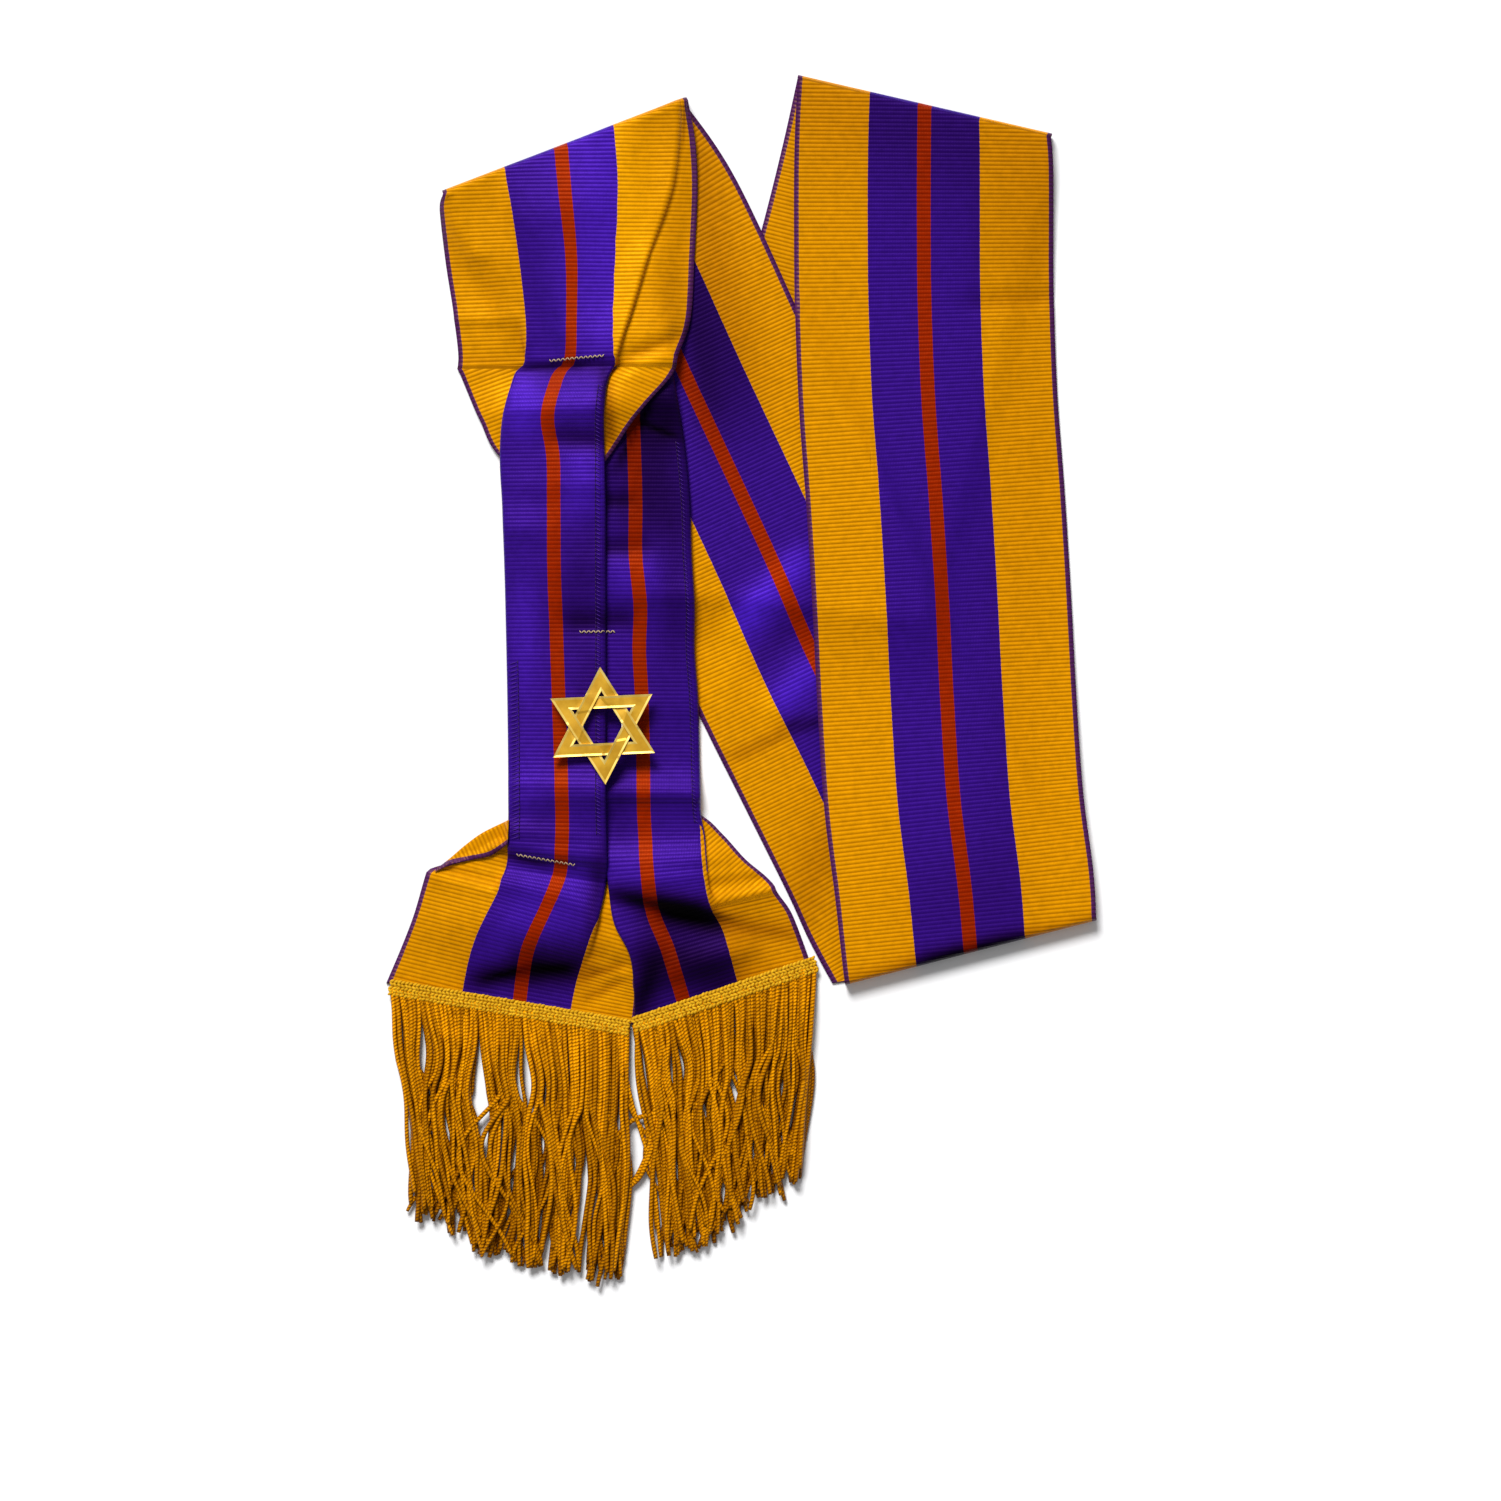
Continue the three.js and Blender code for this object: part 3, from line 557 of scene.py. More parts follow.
def tube(path: Array, sideways: Array, upward: Array, wide: Array, high: Array, sides: int) -> Array:
    """Gives the points of a tube, ring by ring.

    Args:
        path: the tube's middle line.
        sideways: the way across it, one for the tube or one for each ring.
        upward: the way up from it, likewise.
        wide: half of each ring's width.
        high: half of each ring's height.
        sides: points in each ring.

    Returns:
        The points.
    """
    angle = ring_angles(sides)
    across = (wide[:, None] * np.cos(angle))[..., None] * np.atleast_2d(sideways)[:, None]
    rise = (high[:, None] * np.sin(angle))[..., None] * np.atleast_2d(upward)[:, None]
    return (path[:, None] + across + rise).reshape(-1, 3)


def tube_faces(tubes: int, rings: int, sides: int) -> Array:
    """Gives the faces of equal tubes whose points are listed ring by ring, with closed ends.

    Args:
        tubes: the number of tubes.
        rings: rings in each tube.
        sides: points in each ring.

    Returns:
        Faces of four corners; those of the ends repeat none because sides is even.
    """
    i, j = np.meshgrid(np.arange(rings - 1), np.arange(sides), indexing="ij")
    k = (j + 1) % sides
    ring, following = i * sides, (i + 1) * sides
    body = np.stack([ring + j, ring + k, following + k, following + j], -1).reshape(-1, 4)
    ends = []
    last = (rings - 1) * sides
    for a in range(1, sides // 2):
        b = sides - a
        ends.append([a - 1, (b + 1) % sides, b, a][::-1])
        ends.append([last + a - 1, last + (b + 1) % sides, last + b, last + a])
    one = np.vstack([body, np.array(ends)[:, ::-1]])
    return (np.arange(tubes)[:, None, None] * rings * sides + one[None]).reshape(-1, 4)


def between(f: Value, start: Value, end: Value, leaving: Value, arriving: Value) -> Value:
    """Gives the value at a share f of a smooth step between two values.

    Args:
        f: the share, from 0 to 1.
        start: the first value.
        end: the second value.
        leaving: the slope at the first.
        arriving: the slope at the second.

    Returns:
        The value.
    """
    f2, f3 = f**2, f**3
    held = (2 * f3 - 3 * f2 + 1) * start + (3 * f2 - 2 * f3) * end
    return held + (f3 - 2 * f2 + f) * leaving + (f3 - f2) * arriving


def curve(at: Array, knots: Array, values: Array) -> Array:
    """Gives a smooth curve through values at knots.

    Args:
        at: where to read it.
        knots: the places of the values.
        values: what the curve passes through.

    Returns:
        The curve's value at each place.
    """
    slopes = np.gradient(values, knots)
    i = np.clip(np.searchsorted(knots, at) - 1, 0, len(knots) - 2)
    h = knots[i + 1] - knots[i]
    return between((at - knots[i]) / h, values[i], values[i + 1], slopes[i] * h, slopes[i + 1] * h)


def cord_piece(name: str, parts: list[Array], faces: Array, *values: Value) -> Piece:
    """Makes a piece whose points carry what the cord finish reads.

    Args:
        name: the piece's name.
        parts: its points, in arrays that follow each other.
        faces: its faces.
        values: the numbers named in CORD_VALUES, one for all points or one for each.

    Returns:
        The piece.
    """
    points = np.concatenate(parts)
    piece = mesh_piece(name, points, faces)
    for kind, value in zip(CORD_VALUES, values):
        point_values(piece, f"cord_{kind}", np.broadcast_to(value, len(points)))
    return piece


@dataclass
class Ribbon:
    """One length of striped ribbon, settled layer on layer over the table."""

    wall: float = 0.8
    spacing_wall: float = 1.0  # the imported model's wall, which sets how far its layers stand apart
    pleat_radius: float = 0.63
    deep_pleat_radius: float = 1.26
    least: float = 0.6  # the shortest straight piece of a flap
    pleat_settles: float = 8.0  # the tuck from which a pleat lies pressed
    deep_pleat_settles: float = 45.0  # the tuck from which its first fold has the deep radius
    pleat_reach: float = 14.0  # how far beyond its fold line a pleat still keeps the cloth straight
    span_cells: int = 2  # how many cells of the height map the cloth spans stiffly
    ease_cells: int = 3  # and over how many it is then eased
    layer_gap: float = 0.32
    tail_spacing: float = 1.95
    flat_spacing: float = 3.2
    hidden_spacing: float = 9.0
    crown: float = 0.7  # how far a pleated tail's middle stands above its folded edges
    front_steps: int = 18
    arc_steps: int = 4
    run_steps: int = 6
    rest_steps: int = 11
    roll_steps: int = 8
    fan_from: float = -45.0  # the tails' ribs lie level above this and turn with the fans below it
    roll_reach: float = 1.3
    lowest: float = 0.02
    edge_hold: float = 0.15  # how far inside the gold's edge a pleat's first points are dyed purple
    edge_release: float = 6.0  # and how far they stray from it where the cloth lies open
    flap_start: float = 3.0  # the least rest of a flap over which its pleat turns back in full
    ribs_eased: float = 18.0  # over how long a run the direction of the ribs is evened
    fan_eased: float = 20.0
    even_passes: int = 6
    raise_passes: int = 5
    crest_passes: int = 8

    def __post_init__(self) -> None:
        """Lays the cloth, so that other pieces can rest on it."""
        self.tops = HeightMap(0.0)
        plans = {
            Lay.FRONT_TAIL: (FRONT_TAIL, 1.0, self.tail_spacing),
            Lay.UNDER_DIAGONAL: (UNDER_DIAGONAL, 1.0, self.hidden_spacing),
            Lay.BACK: (BACK, 1.02, self.hidden_spacing / 2),
            Lay.RIGHT_FRONT: (RIGHT_FRONT, 1.015, self.flat_spacing),
            Lay.DIAGONAL: (DIAGONAL, 1.01, self.flat_spacing),
            Lay.REAR_TAIL: (REAR_TAIL, 1.0, self.tail_spacing),
        }
        self.lays = {lay: self.cloth(lay, *plan) for lay, plan in plans.items()}
        front = self.lays[Lay.FRONT_TAIL]
        fan = int(np.argmax(front.y[:, front.y.shape[1] // 2] > FAN_TOP))
        whole = slice(None)
        for lay, rows in (
            (Lay.BACK, whole),
            (Lay.UNDER_DIAGONAL, whole),
            (Lay.DIAGONAL, whole),
            (Lay.FRONT_TAIL, slice(0, fan)),
            (Lay.REAR_TAIL, whole),
            (Lay.FRONT_TAIL, slice(fan, None)),
            (Lay.RIGHT_FRONT, whole),
        ):
            cloth = self.lays[lay].part(rows)
            self.settle(cloth, lay)
            x, y, z = (self.samples(v) for v in (cloth.x, cloth.y, cloth.z))
            self.tops.lift(x, y, z + self.spacing_wall / 2 + self.layer_gap)

    @staticmethod
    def smooth(rows: list[Section], spacing: float) -> Array:
        """Gives sections at an even spacing along a stretch.

        Args:
            rows: the stretch's sections.
            spacing: the wanted distance between sections.

        Returns:
            One row of values for each section.
        """
        table = np.array(rows, float)
        made = []
        for i in range(len(table) - 1):
            a, b, c, d = (table[min(max(k, 0), len(table) - 1)] for k in range(i - 1, i + 3))
            steps = max(1, round(math.dist(b[:2], c[:2]) / spacing))
            for k in range(steps):
                made.append(between(k / steps, b, c, (c - a) / 2, (d - b) / 2))
        made.append(table[-1])
        return np.array(made)

    @staticmethod
    def pleat_angle(tuck: float, arcs: float, run: float) -> float:
        """Gives how far the cloth turns in an S-shaped pleat that draws its edge in.

        Args:
            tuck: how far the edge is drawn in.
            arcs: the length of the pleat's two arcs.
            run: the length between them.

        Returns:
            The turn, in radians.
        """
        low, high = 1e-6, math.pi
        for _ in range(24):
            angle = (low + high) / 2
            drawn_in = arcs * (1 - math.sin(angle) / angle) + run * (1 - math.cos(angle))
            low, high = (angle, high) if drawn_in < tuck else (low, angle)
        return (low + high) / 2

    def side(self, inner: float, outer: float, tuck: float, radius: float, fold: float = 0.0) -> Array:
        """Follows one side of a section from its fold line out to the selvedge.

        Args:
            inner: the centre line to the edge of the purple, in plan.
            outer: the centre line to the selvedge, where the section lies open.
            tuck: how far the selvedge is drawn in.
            radius: the first fold's radius.
            fold: the place of the fold line in the ribbon's width, where it isn't at the purple's edge.

        Returns:
            For each point its place in the ribbon's width, its distance in plan and its depth.
        """
        settled = min(1.0, tuck / self.pleat_settles)
        corner = STRIPE_EDGE + (inner - STRIPE_EDGE) * settled
        stretch = (outer - inner) / (HALF_WIDTH - STRIPE_EDGE)
        scale = stretch + (1 - stretch) * settled
        if fold:
            corner = fold
            inner += (fold - STRIPE_EDGE) * stretch
            scale = (outer + tuck - inner) / (HALF_WIDTH - fold)
        flap = HALF_WIDTH - corner
        arc1, arc2 = math.pi * radius, math.pi * self.pleat_radius
        spare = flap - arc1 - arc2
        run = min(max((tuck - arc1 - arc2) / 2, self.least), spare - self.least)
        angle1 = self.pleat_angle(tuck, arc1 + arc2, run)
        rest = spare - run
        angle2 = angle1 * min(1.0, (rest - self.least) / self.flap_start)
        points = [(corner, inner, 0.0)]
        heading = 0.0
        for length, turn, steps in (
            (arc1, angle1, self.arc_steps),
            (run, 0.0, self.run_steps),
            (arc2, -angle2, self.arc_steps),
            (rest, 0.0, self.rest_steps),
        ):
            for _ in range(steps):
                place, across, depth = points[-1]
                middle = heading + turn / steps / 2
                heading += turn / steps
                step = length / steps
                points.append(
                    (place + step, across + step * scale * math.cos(middle), depth + step * math.sin(middle))
                )
        return np.array(points)

    def row(self, lay: Lay, s: Section, spread: float) -> tuple[Array, ...]:
        """Makes one row of a stretch's grid.

        Args:
            lay: which stretch it is.
            s: the row's section.
            spread: how much wider than flat an open section is drawn.

        Returns:
            The points' x, y, depth, lift, share of the way across, part in a pleat and place in the width.
        """
        t1, t2, fold = max(s.t1, 0.0), max(s.t2, 0.0), 0.0
        deepened = min(1.0, t2 / self.deep_pleat_settles) ** 2
        radius = self.pleat_radius + (self.deep_pleat_radius - self.pleat_radius) * deepened
        if lay == Lay.FRONT_TAIL and s.y > UPPER_PLEAT[0].y:
            heights, places, tucks = zip(*UPPER_PLEAT)
            fold, t2 = np.interp(s.y, heights, places), np.interp(s.y, heights, tucks)
        left = self.side(s.in1 * spread, s.out1 * spread, t1, self.pleat_radius)
        right = self.side(s.in2 * spread, s.out2 * spread, t2, radius, fold)
        for edge, tuck in ((left, t1), (right, 0.0 if fold else t2)):
            opened = max(0.0, 1 - tuck / self.pleat_settles)
            kept = STRIPE_EDGE - self.edge_hold + self.edge_release * opened
            edge[1:3, 0] = np.minimum(edge[1:3, 0], kept)
        left = left[::-1] * [-1, -1, 1]
        first, last = left[-1], right[0]
        inner = first + (last - first) * np.linspace(0, 1, self.front_steps + 1)[1:-1, None]
        marks, plan = [first[0], 0.0, last[0]], [first[1], 0.0, last[1]]
        if fold:
            marks[2:], plan[2:] = [STRIPE_EDGE, fold], [s.in2, last[1]]
        inner[:, 1] = np.interp(inner[:, 0], marks, plan)
        width, across, depth = np.vstack([left, inner, right]).T
        in1, in2 = s.in1 * spread, last[1]
        share = np.clip((across + in1) / (in1 + in2), 0, 1)
        beyond = np.maximum(0, np.maximum(-across - in1, across - in2))
        pleated = min(1.0, max(t1, t2) / self.pleat_settles) * np.maximum(0, 1 - beyond / self.pleat_reach)
        turn = math.radians(s.turn)
        x, y = s.x + across * math.cos(turn), s.y + across * math.sin(turn)
        return x, y, depth, s.lift1 + (s.lift2 - s.lift1) * share, share, pleated, width

    def cloth(self, lay: Lay, rows: list[Section], spread: float, spacing: float) -> Cloth:
        """Makes the grid of a stretch in plan.

        Args:
            lay: which stretch it is.
            rows: the stretch's sections.
            spread: how much wider than flat an open section is drawn.
            spacing: the distance between rows.

        Returns:
            The cloth, not yet settled.
        """
        sections = [Section(*values) for values in self.smooth(rows, spacing)]
        grid = [np.array(values) for values in zip(*(self.row(lay, s, spread) for s in sections))]
        x, y, width = grid[0], grid[1], grid[-1]
        centre = np.array([(s.x, s.y) for s in sections])
        ribs = self.along_ribs(lay, centre, np.radians([s.turn for s in sections]), width, spacing)
        flap_ribs = ribs.copy()
        for grain in GRAINS:
            if grain.lay == lay:
                rows_there = (centre[:, 1] > grain.low) & (centre[:, 1] < grain.high)
                there = np.ix_(rows_there, width[0] * grain.side > 0)
                flap_ribs[there] = grain.phase(x[there], y[there])
        front, z = np.zeros((2, *ribs.shape))
        return Cloth(*grid, ribs, flap_ribs, np.ones_like(ribs), front, z)

    def along_ribs(self, lay: Lay, centre: Array, turn: Array, width: Array, spacing: float) -> Array:
        """Gives how far along the weave each point lies.

        Args:
            lay: which stretch it is.
            centre: the middle of each row.
            turn: each row's turn, in radians.
            width: each point's place in the ribbon's width.
            spacing: the distance between rows.

        Returns:
            The distances, with the same value along each rib.
        """
        tangent = self.eased(unit(np.gradient(centre, axis=0)), round((self.ribs_eased / spacing) ** 2))
        if lay in (Lay.FRONT_TAIL, Lay.REAR_TAIL):
            fanned = turn * np.clip((self.fan_from - centre[:, 1]) / self.fan_eased, 0, 1)
            tangent = np.stack([-np.sin(fanned), np.cos(fanned)], -1) * np.sign(tangent[:, 1])[:, None]
        skew = np.cos(turn) * tangent[:, 0] + np.sin(turn) * tangent[:, 1]
        steps = (np.diff(centre, axis=0) * (tangent[1:] + tangent[:-1]) / 2).sum(1)
        run = np.concatenate([[0], np.cumsum(steps)])
        return run[:, None] + skew[:, None] * width

    @staticmethod
    def eased(values: Array, passes: int) -> Array:
        """Averages values along the cloth with their neighbours.

        Args:
            values: one row for each place along the cloth.
            passes: how often they are averaged.

        Returns:
            The eased values; the first and last rows are kept.
        """
        for _ in range(passes):
            inner = (values[:-2] + 2 * values[1:-1] + values[2:]) / 4
            values = np.concatenate([values[:1], inner, values[-1:]])
        return values

    @staticmethod
    def corners(values: Array) -> Array:
        """Gives the four corner values of every quad of a grid."""
        return np.stack([values[:-1, :-1], values[:-1, 1:], values[1:, :-1], values[1:, 1:]])

    @staticmethod
    def weights() -> Array:
        """Gives the corners' shares at places spread over a quad."""
        spread = (0, 0.34, 0.67, 1)
        u, v = (a.ravel() for a in np.meshgrid(spread, spread))
        return np.stack([(1 - u) * (1 - v), u * (1 - v), (1 - u) * v, u * v])

    def samples(self, values: Array) -> Array:
        """Gives values at places spread over every quad of a grid."""
        return np.einsum("cij,ck->ijk", self.corners(values), self.weights())

    def settle(self, cloth: Cloth, lay: Lay) -> None:
        """Lays cloth on what already lies on the table.

        Args:
            cloth: the cloth, whose front and z are filled in.
            lay: which stretch it belongs to.
        """
        x, y = self.samples(cloth.x), self.samples(cloth.y)
        need = HeightMap(-1.0)
        need.lift(x, y, self.tops.at(x, y) + self.samples(cloth.depth) + self.samples(cloth.lift))
        spanned = need.spread(self.span_cells, blend=False)
        front = spanned.spread(self.ease_cells, blend=True).at(cloth.x, cloth.y)
        needed = need.near(cloth.x, cloth.y)
        first = np.where(cloth.share < 0.5, needed, -1).max(1)
        last = np.where(cloth.share >= 0.5, needed, -1).max(1)
        straight = first[:, None] + (last - first)[:, None] * cloth.share
        front += (straight - front) * cloth.pleated
        front = self.eased(front, self.even_passes)
        pleated = self.samples(cloth.pleated)
        corner_pleated = self.corners(cloth.pleated)
        for _ in range(self.raise_passes):
            short = np.maximum(need.near(x, y) - self.samples(front), 0)
            most = (short * pleated).max((1, 2))
            whole = np.zeros(len(front))
            whole[:-1] = most / 2
            whole[1:] = np.maximum(whole[1:], most / 2)
            local = np.zeros_like(front)
            lifted = np.einsum("ijk,ck->cijk", short, self.weights()).max(3) * (1 - corner_pleated)
            near, far = slice(0, -1), slice(1, None)
            for c, (rows, columns) in enumerate(((near, near), (near, far), (far, near), (far, far))):
                local[rows, columns] = np.maximum(local[rows, columns], lifted[c])
            front = front + local + whole[:, None] * cloth.pleated
        front = np.maximum(front, self.eased(front, self.crest_passes))
        front += self.crown * (1 - (2 * cloth.share - 1) ** 2) * np.clip(cloth.pleated, 0, 1)
        for crease in (Crease(*row) for row in CREASES.get(lay, ())):
            there = crease.share(cloth.x, cloth.y)
            front = front + crease.height * there
            # painted light and shade: the crease darkens or lightens the cloth's colour there
            cloth.tone *= 1 + (crease.tone - 1) * there
        cloth.front[:] = front
        cloth.z[:] = np.maximum(front - cloth.depth, 0) + self.spacing_wall / 2

    def roll(self, end: Cloth, start: Cloth) -> list[Array]:
        """Makes the half-round that joins the end of one stretch to the start of the next.

        Args:
            end: the stretch that ends.
            start: the stretch that starts.

        Returns:
            Rows of points, each with x, y, z, the place in the width, both rib coordinates and the painted
            light and shade.
        """
        near = np.stack([end.x[-1], end.y[-1], end.z[-1]], -1)
        far_z = start.z[0]
        line = near[-1, :2] - near[0, :2]
        out = np.array([-line[1], line[0]]) / np.linalg.norm(line)
        middle = near.shape[0] // 2
        travel = near[middle, :2] - np.array([end.x[-3, middle], end.y[-3, middle]])
        if out @ travel < 0:
            out = -out
        radius = (near[:, 2] - far_z) / 2
        rows = []
        for i in range(1, self.roll_steps):
            angle = math.pi * i / self.roll_steps
            bulge = np.minimum(np.abs(radius), self.roll_reach) * math.sin(angle)
            place = near[:, :2] + bulge[:, None] * out
            z = (near[:, 2] + far_z) / 2 + radius * math.cos(angle)
            run = np.abs(radius) * angle
            kept = [end.width[-1], end.ribs[-1] + run, end.flap_ribs[-1] + run, end.tone[-1]]
            rows.append(np.column_stack([place, z, *kept]))
        return rows

    def build(self) -> Piece:
        """Makes the ribbon as one closed wall.

        Returns:
            The ribbon, with its place in the width and along the ribs stored on its points.
        """
        rows: list[Array] = []
        before: Cloth | None = None
        for cloth in self.lays.values():
            if before is not None:
                rolled = self.roll(before, cloth)
                rows.extend(rolled)
                on = rolled[-1][:, 4].mean() - cloth.ribs[0].mean()
                cloth.ribs += on
                cloth.flap_ribs += on
            kept = [cloth.width, cloth.ribs, cloth.flap_ribs, cloth.tone]
            rows.extend(np.dstack([cloth.x, cloth.y, cloth.z, *kept]))
            before = cloth
        grid = np.array(rows)
        place = grid[:, :, :3]
        padded = np.pad(place, ((1, 1), (1, 1), (0, 0)), mode="edge")
        lengthwise = padded[2:, 1:-1] - padded[:-2, 1:-1]
        across = padded[1:-1, 2:] - padded[1:-1, :-2]
        normal = np.cross(across, lengthwise)
        normal /= np.maximum(np.linalg.norm(normal, axis=2, keepdims=True), 1e-9)
        half = normal * self.wall / 2
        points = np.concatenate([side.reshape(-1, 3) for side in (place + half, place - half)])
        points[:, 2] = np.maximum(points[:, 2] - (self.spacing_wall - self.wall) / 2, self.lowest)
        piece = mesh_piece("ribbon", points, wall_faces(*grid.shape[:2]))
        for column, name in enumerate(CLOTH_VALUES, 3):
            point_values(piece, name, [grid[:, :, column]] * 2)
        middle = grid[:, grid.shape[1] // 2, :3]
        self.length = float(np.linalg.norm(np.diff(middle, axis=0), axis=1).sum())
        return piece

    def surface(self, x: float, y: float) -> float:
        """Gives the height of the top of the cloth at a place."""
        return float(self.tops.at(np.array([x]), np.array([y]))[0]) - self.layer_gap


class Nodes:
    """A material's node tree, with short ways to add and join nodes."""

    def __init__(self, tree: bpy.types.NodeTree) -> None:
        """Keeps the tree."""
        self.tree = tree

    def feed(self, entry: Socket, value: object) -> None:
        """Gives a node's input a number or colour, or links a socket to it."""
        if isinstance(value, Socket):
            self.tree.links.new(value, entry)
        else:
            entry.default_value = value

    def tune(self, node: bpy.types.Node, **values: object) -> bpy.types.Node:
        """Sets a node's settings and inputs.

        Args:
            node: the node.
            values: settings by attribute name, or inputs by name with spaces as underscores.

        Returns:
            The same node.
        """
        for name, value in values.items():
            if hasattr(node, name):
                setattr(node, name, value)
            else:
                self.feed(node.inputs[name.replace("_", " ")], value)
        return node

    def add(self, kind: str, **values: object) -> bpy.types.Node:
        """Adds a node of a kind and sets its settings and inputs."""
        return self.tune(self.tree.nodes.new(kind), **values)

    def math(self, operation: str, *values: object) -> Socket:
        """Adds a maths node.

        Args:
            operation: the operation.
            values: up to three sockets or numbers.

        Returns:
            The result's socket.
        """
        node = self.add("ShaderNodeMath", operation=operation)
        for entry, value in zip(node.inputs, values):
            self.feed(entry, value)
        return node.outputs[0]

    def plus(self, a: object, b: object) -> Socket:
        """Adds two values."""
        return self.math("ADD", a, b)

    def times(self, a: object, b: object) -> Socket:
        """Multiplies two values."""
        return self.math("MULTIPLY", a, b)

    def scaled(self, a: object, by: object, on: object) -> Socket:
        """Multiplies a value by a second one and adds a third."""
        return self.math("MULTIPLY_ADD", a, by, on)

    def mix(self, factor: object, a: object, b: object, blend: str = "MIX") -> Socket:
        """Mixes two colours.

        Args:
            factor: a socket or a number.
            a: a socket or a colour.
            b: a socket or a colour.
            blend: how b is laid on a.

        Returns:
            The colour's socket.
        """
        node = self.add("ShaderNodeMix", data_type="RGBA", blend_type=blend)
        for slot, value in ((0, factor), (6, a), (7, b)):
            self.feed(node.inputs[slot], value)
        return node.outputs[2]

    def stored(self, name: str) -> Socket:
        """Reads the number that is stored on a piece's points under a name."""
        return self.add("ShaderNodeAttribute", attribute_name=name).outputs["Fac"]

    def place(self) -> Socket:
        """Reads the place in the piece's own coordinates."""
        return self.add("ShaderNodeTexCoord").outputs["Object"]

    def noise(self, place: Socket, scale: object, detail: float, rough: float = 0.5) -> Socket:
        """Adds soft noise read at a place, with its octaves and how strong the fine ones are."""
        node = self.add("ShaderNodeTexNoise", Vector=place, Scale=scale, Detail=detail, Roughness=rough)
        return node.outputs["Fac"]

    def clamped(self, value: Socket) -> Socket:
        """Holds a value between 0 and 1."""
        return self.add("ShaderNodeClamp", Value=value).outputs[0]

    def bump(self, shader: bpy.types.Node, height: Socket, strength: float, distance: float) -> None:
        """Gives a shader's surface its fine relief, as high as a distance in metres."""
        node = self.add("ShaderNodeBump", Height=height, Strength=strength, Distance=distance)
        self.tune(shader, Normal=node.outputs["Normal"])


def colour(screen: Colour) -> tuple[float, float, float, float]:
    """Turns a colour as seen on a screen, 0 to 255, into a linear one with full alpha."""
    shares = [v / 255 for v in screen]
    return (*(v / 12.92 if v <= 0.04045 else ((v + 0.055) / 1.055) ** 2.4 for v in shares), 1.0)


def new_material(name: str) -> tuple[bpy.types.Material, Nodes, bpy.types.Node]:
    """Starts a material.

    Args:
        name: the material's name.

    Returns:
        The material, its nodes and its Principled shader.
    """
    material = bpy.data.materials.new(name)
    material.use_nodes = True
    shader = next(n for n in material.node_tree.nodes if n.type == "BSDF_PRINCIPLED")
    return material, Nodes(material.node_tree), shader


def fibre_grain() -> bpy.types.NodeTree:
    """Gives the node group for the fine uneven fibres that every textile here has.

    Returns:
        The group: Scale in, Tone and Height out.
    """
    name = "fibre grain"
    if name in bpy.data.node_groups:
        return bpy.data.node_groups[name]
    group = bpy.data.node_groups.new(name, "ShaderNodeTree")
    for socket, way in (("Scale", "INPUT"), ("Tone", "OUTPUT"), ("Height", "OUTPUT")):
        group.interface.new_socket(socket, in_out=way, socket_type="NodeSocketFloat")
    nodes = Nodes(group)
    scale = nodes.add("NodeGroupInput").outputs["Scale"]
    leave = nodes.add("NodeGroupOutput")
    place = nodes.place()
    patches = nodes.noise(place, nodes.times(scale, 0.12), 3.0, 0.6)
    hairs = nodes.noise(place, scale, 2.0)
    nodes.tune(leave, Tone=nodes.scaled(patches, 0.6, nodes.times(hairs, 0.4)), Height=hairs)
    return group


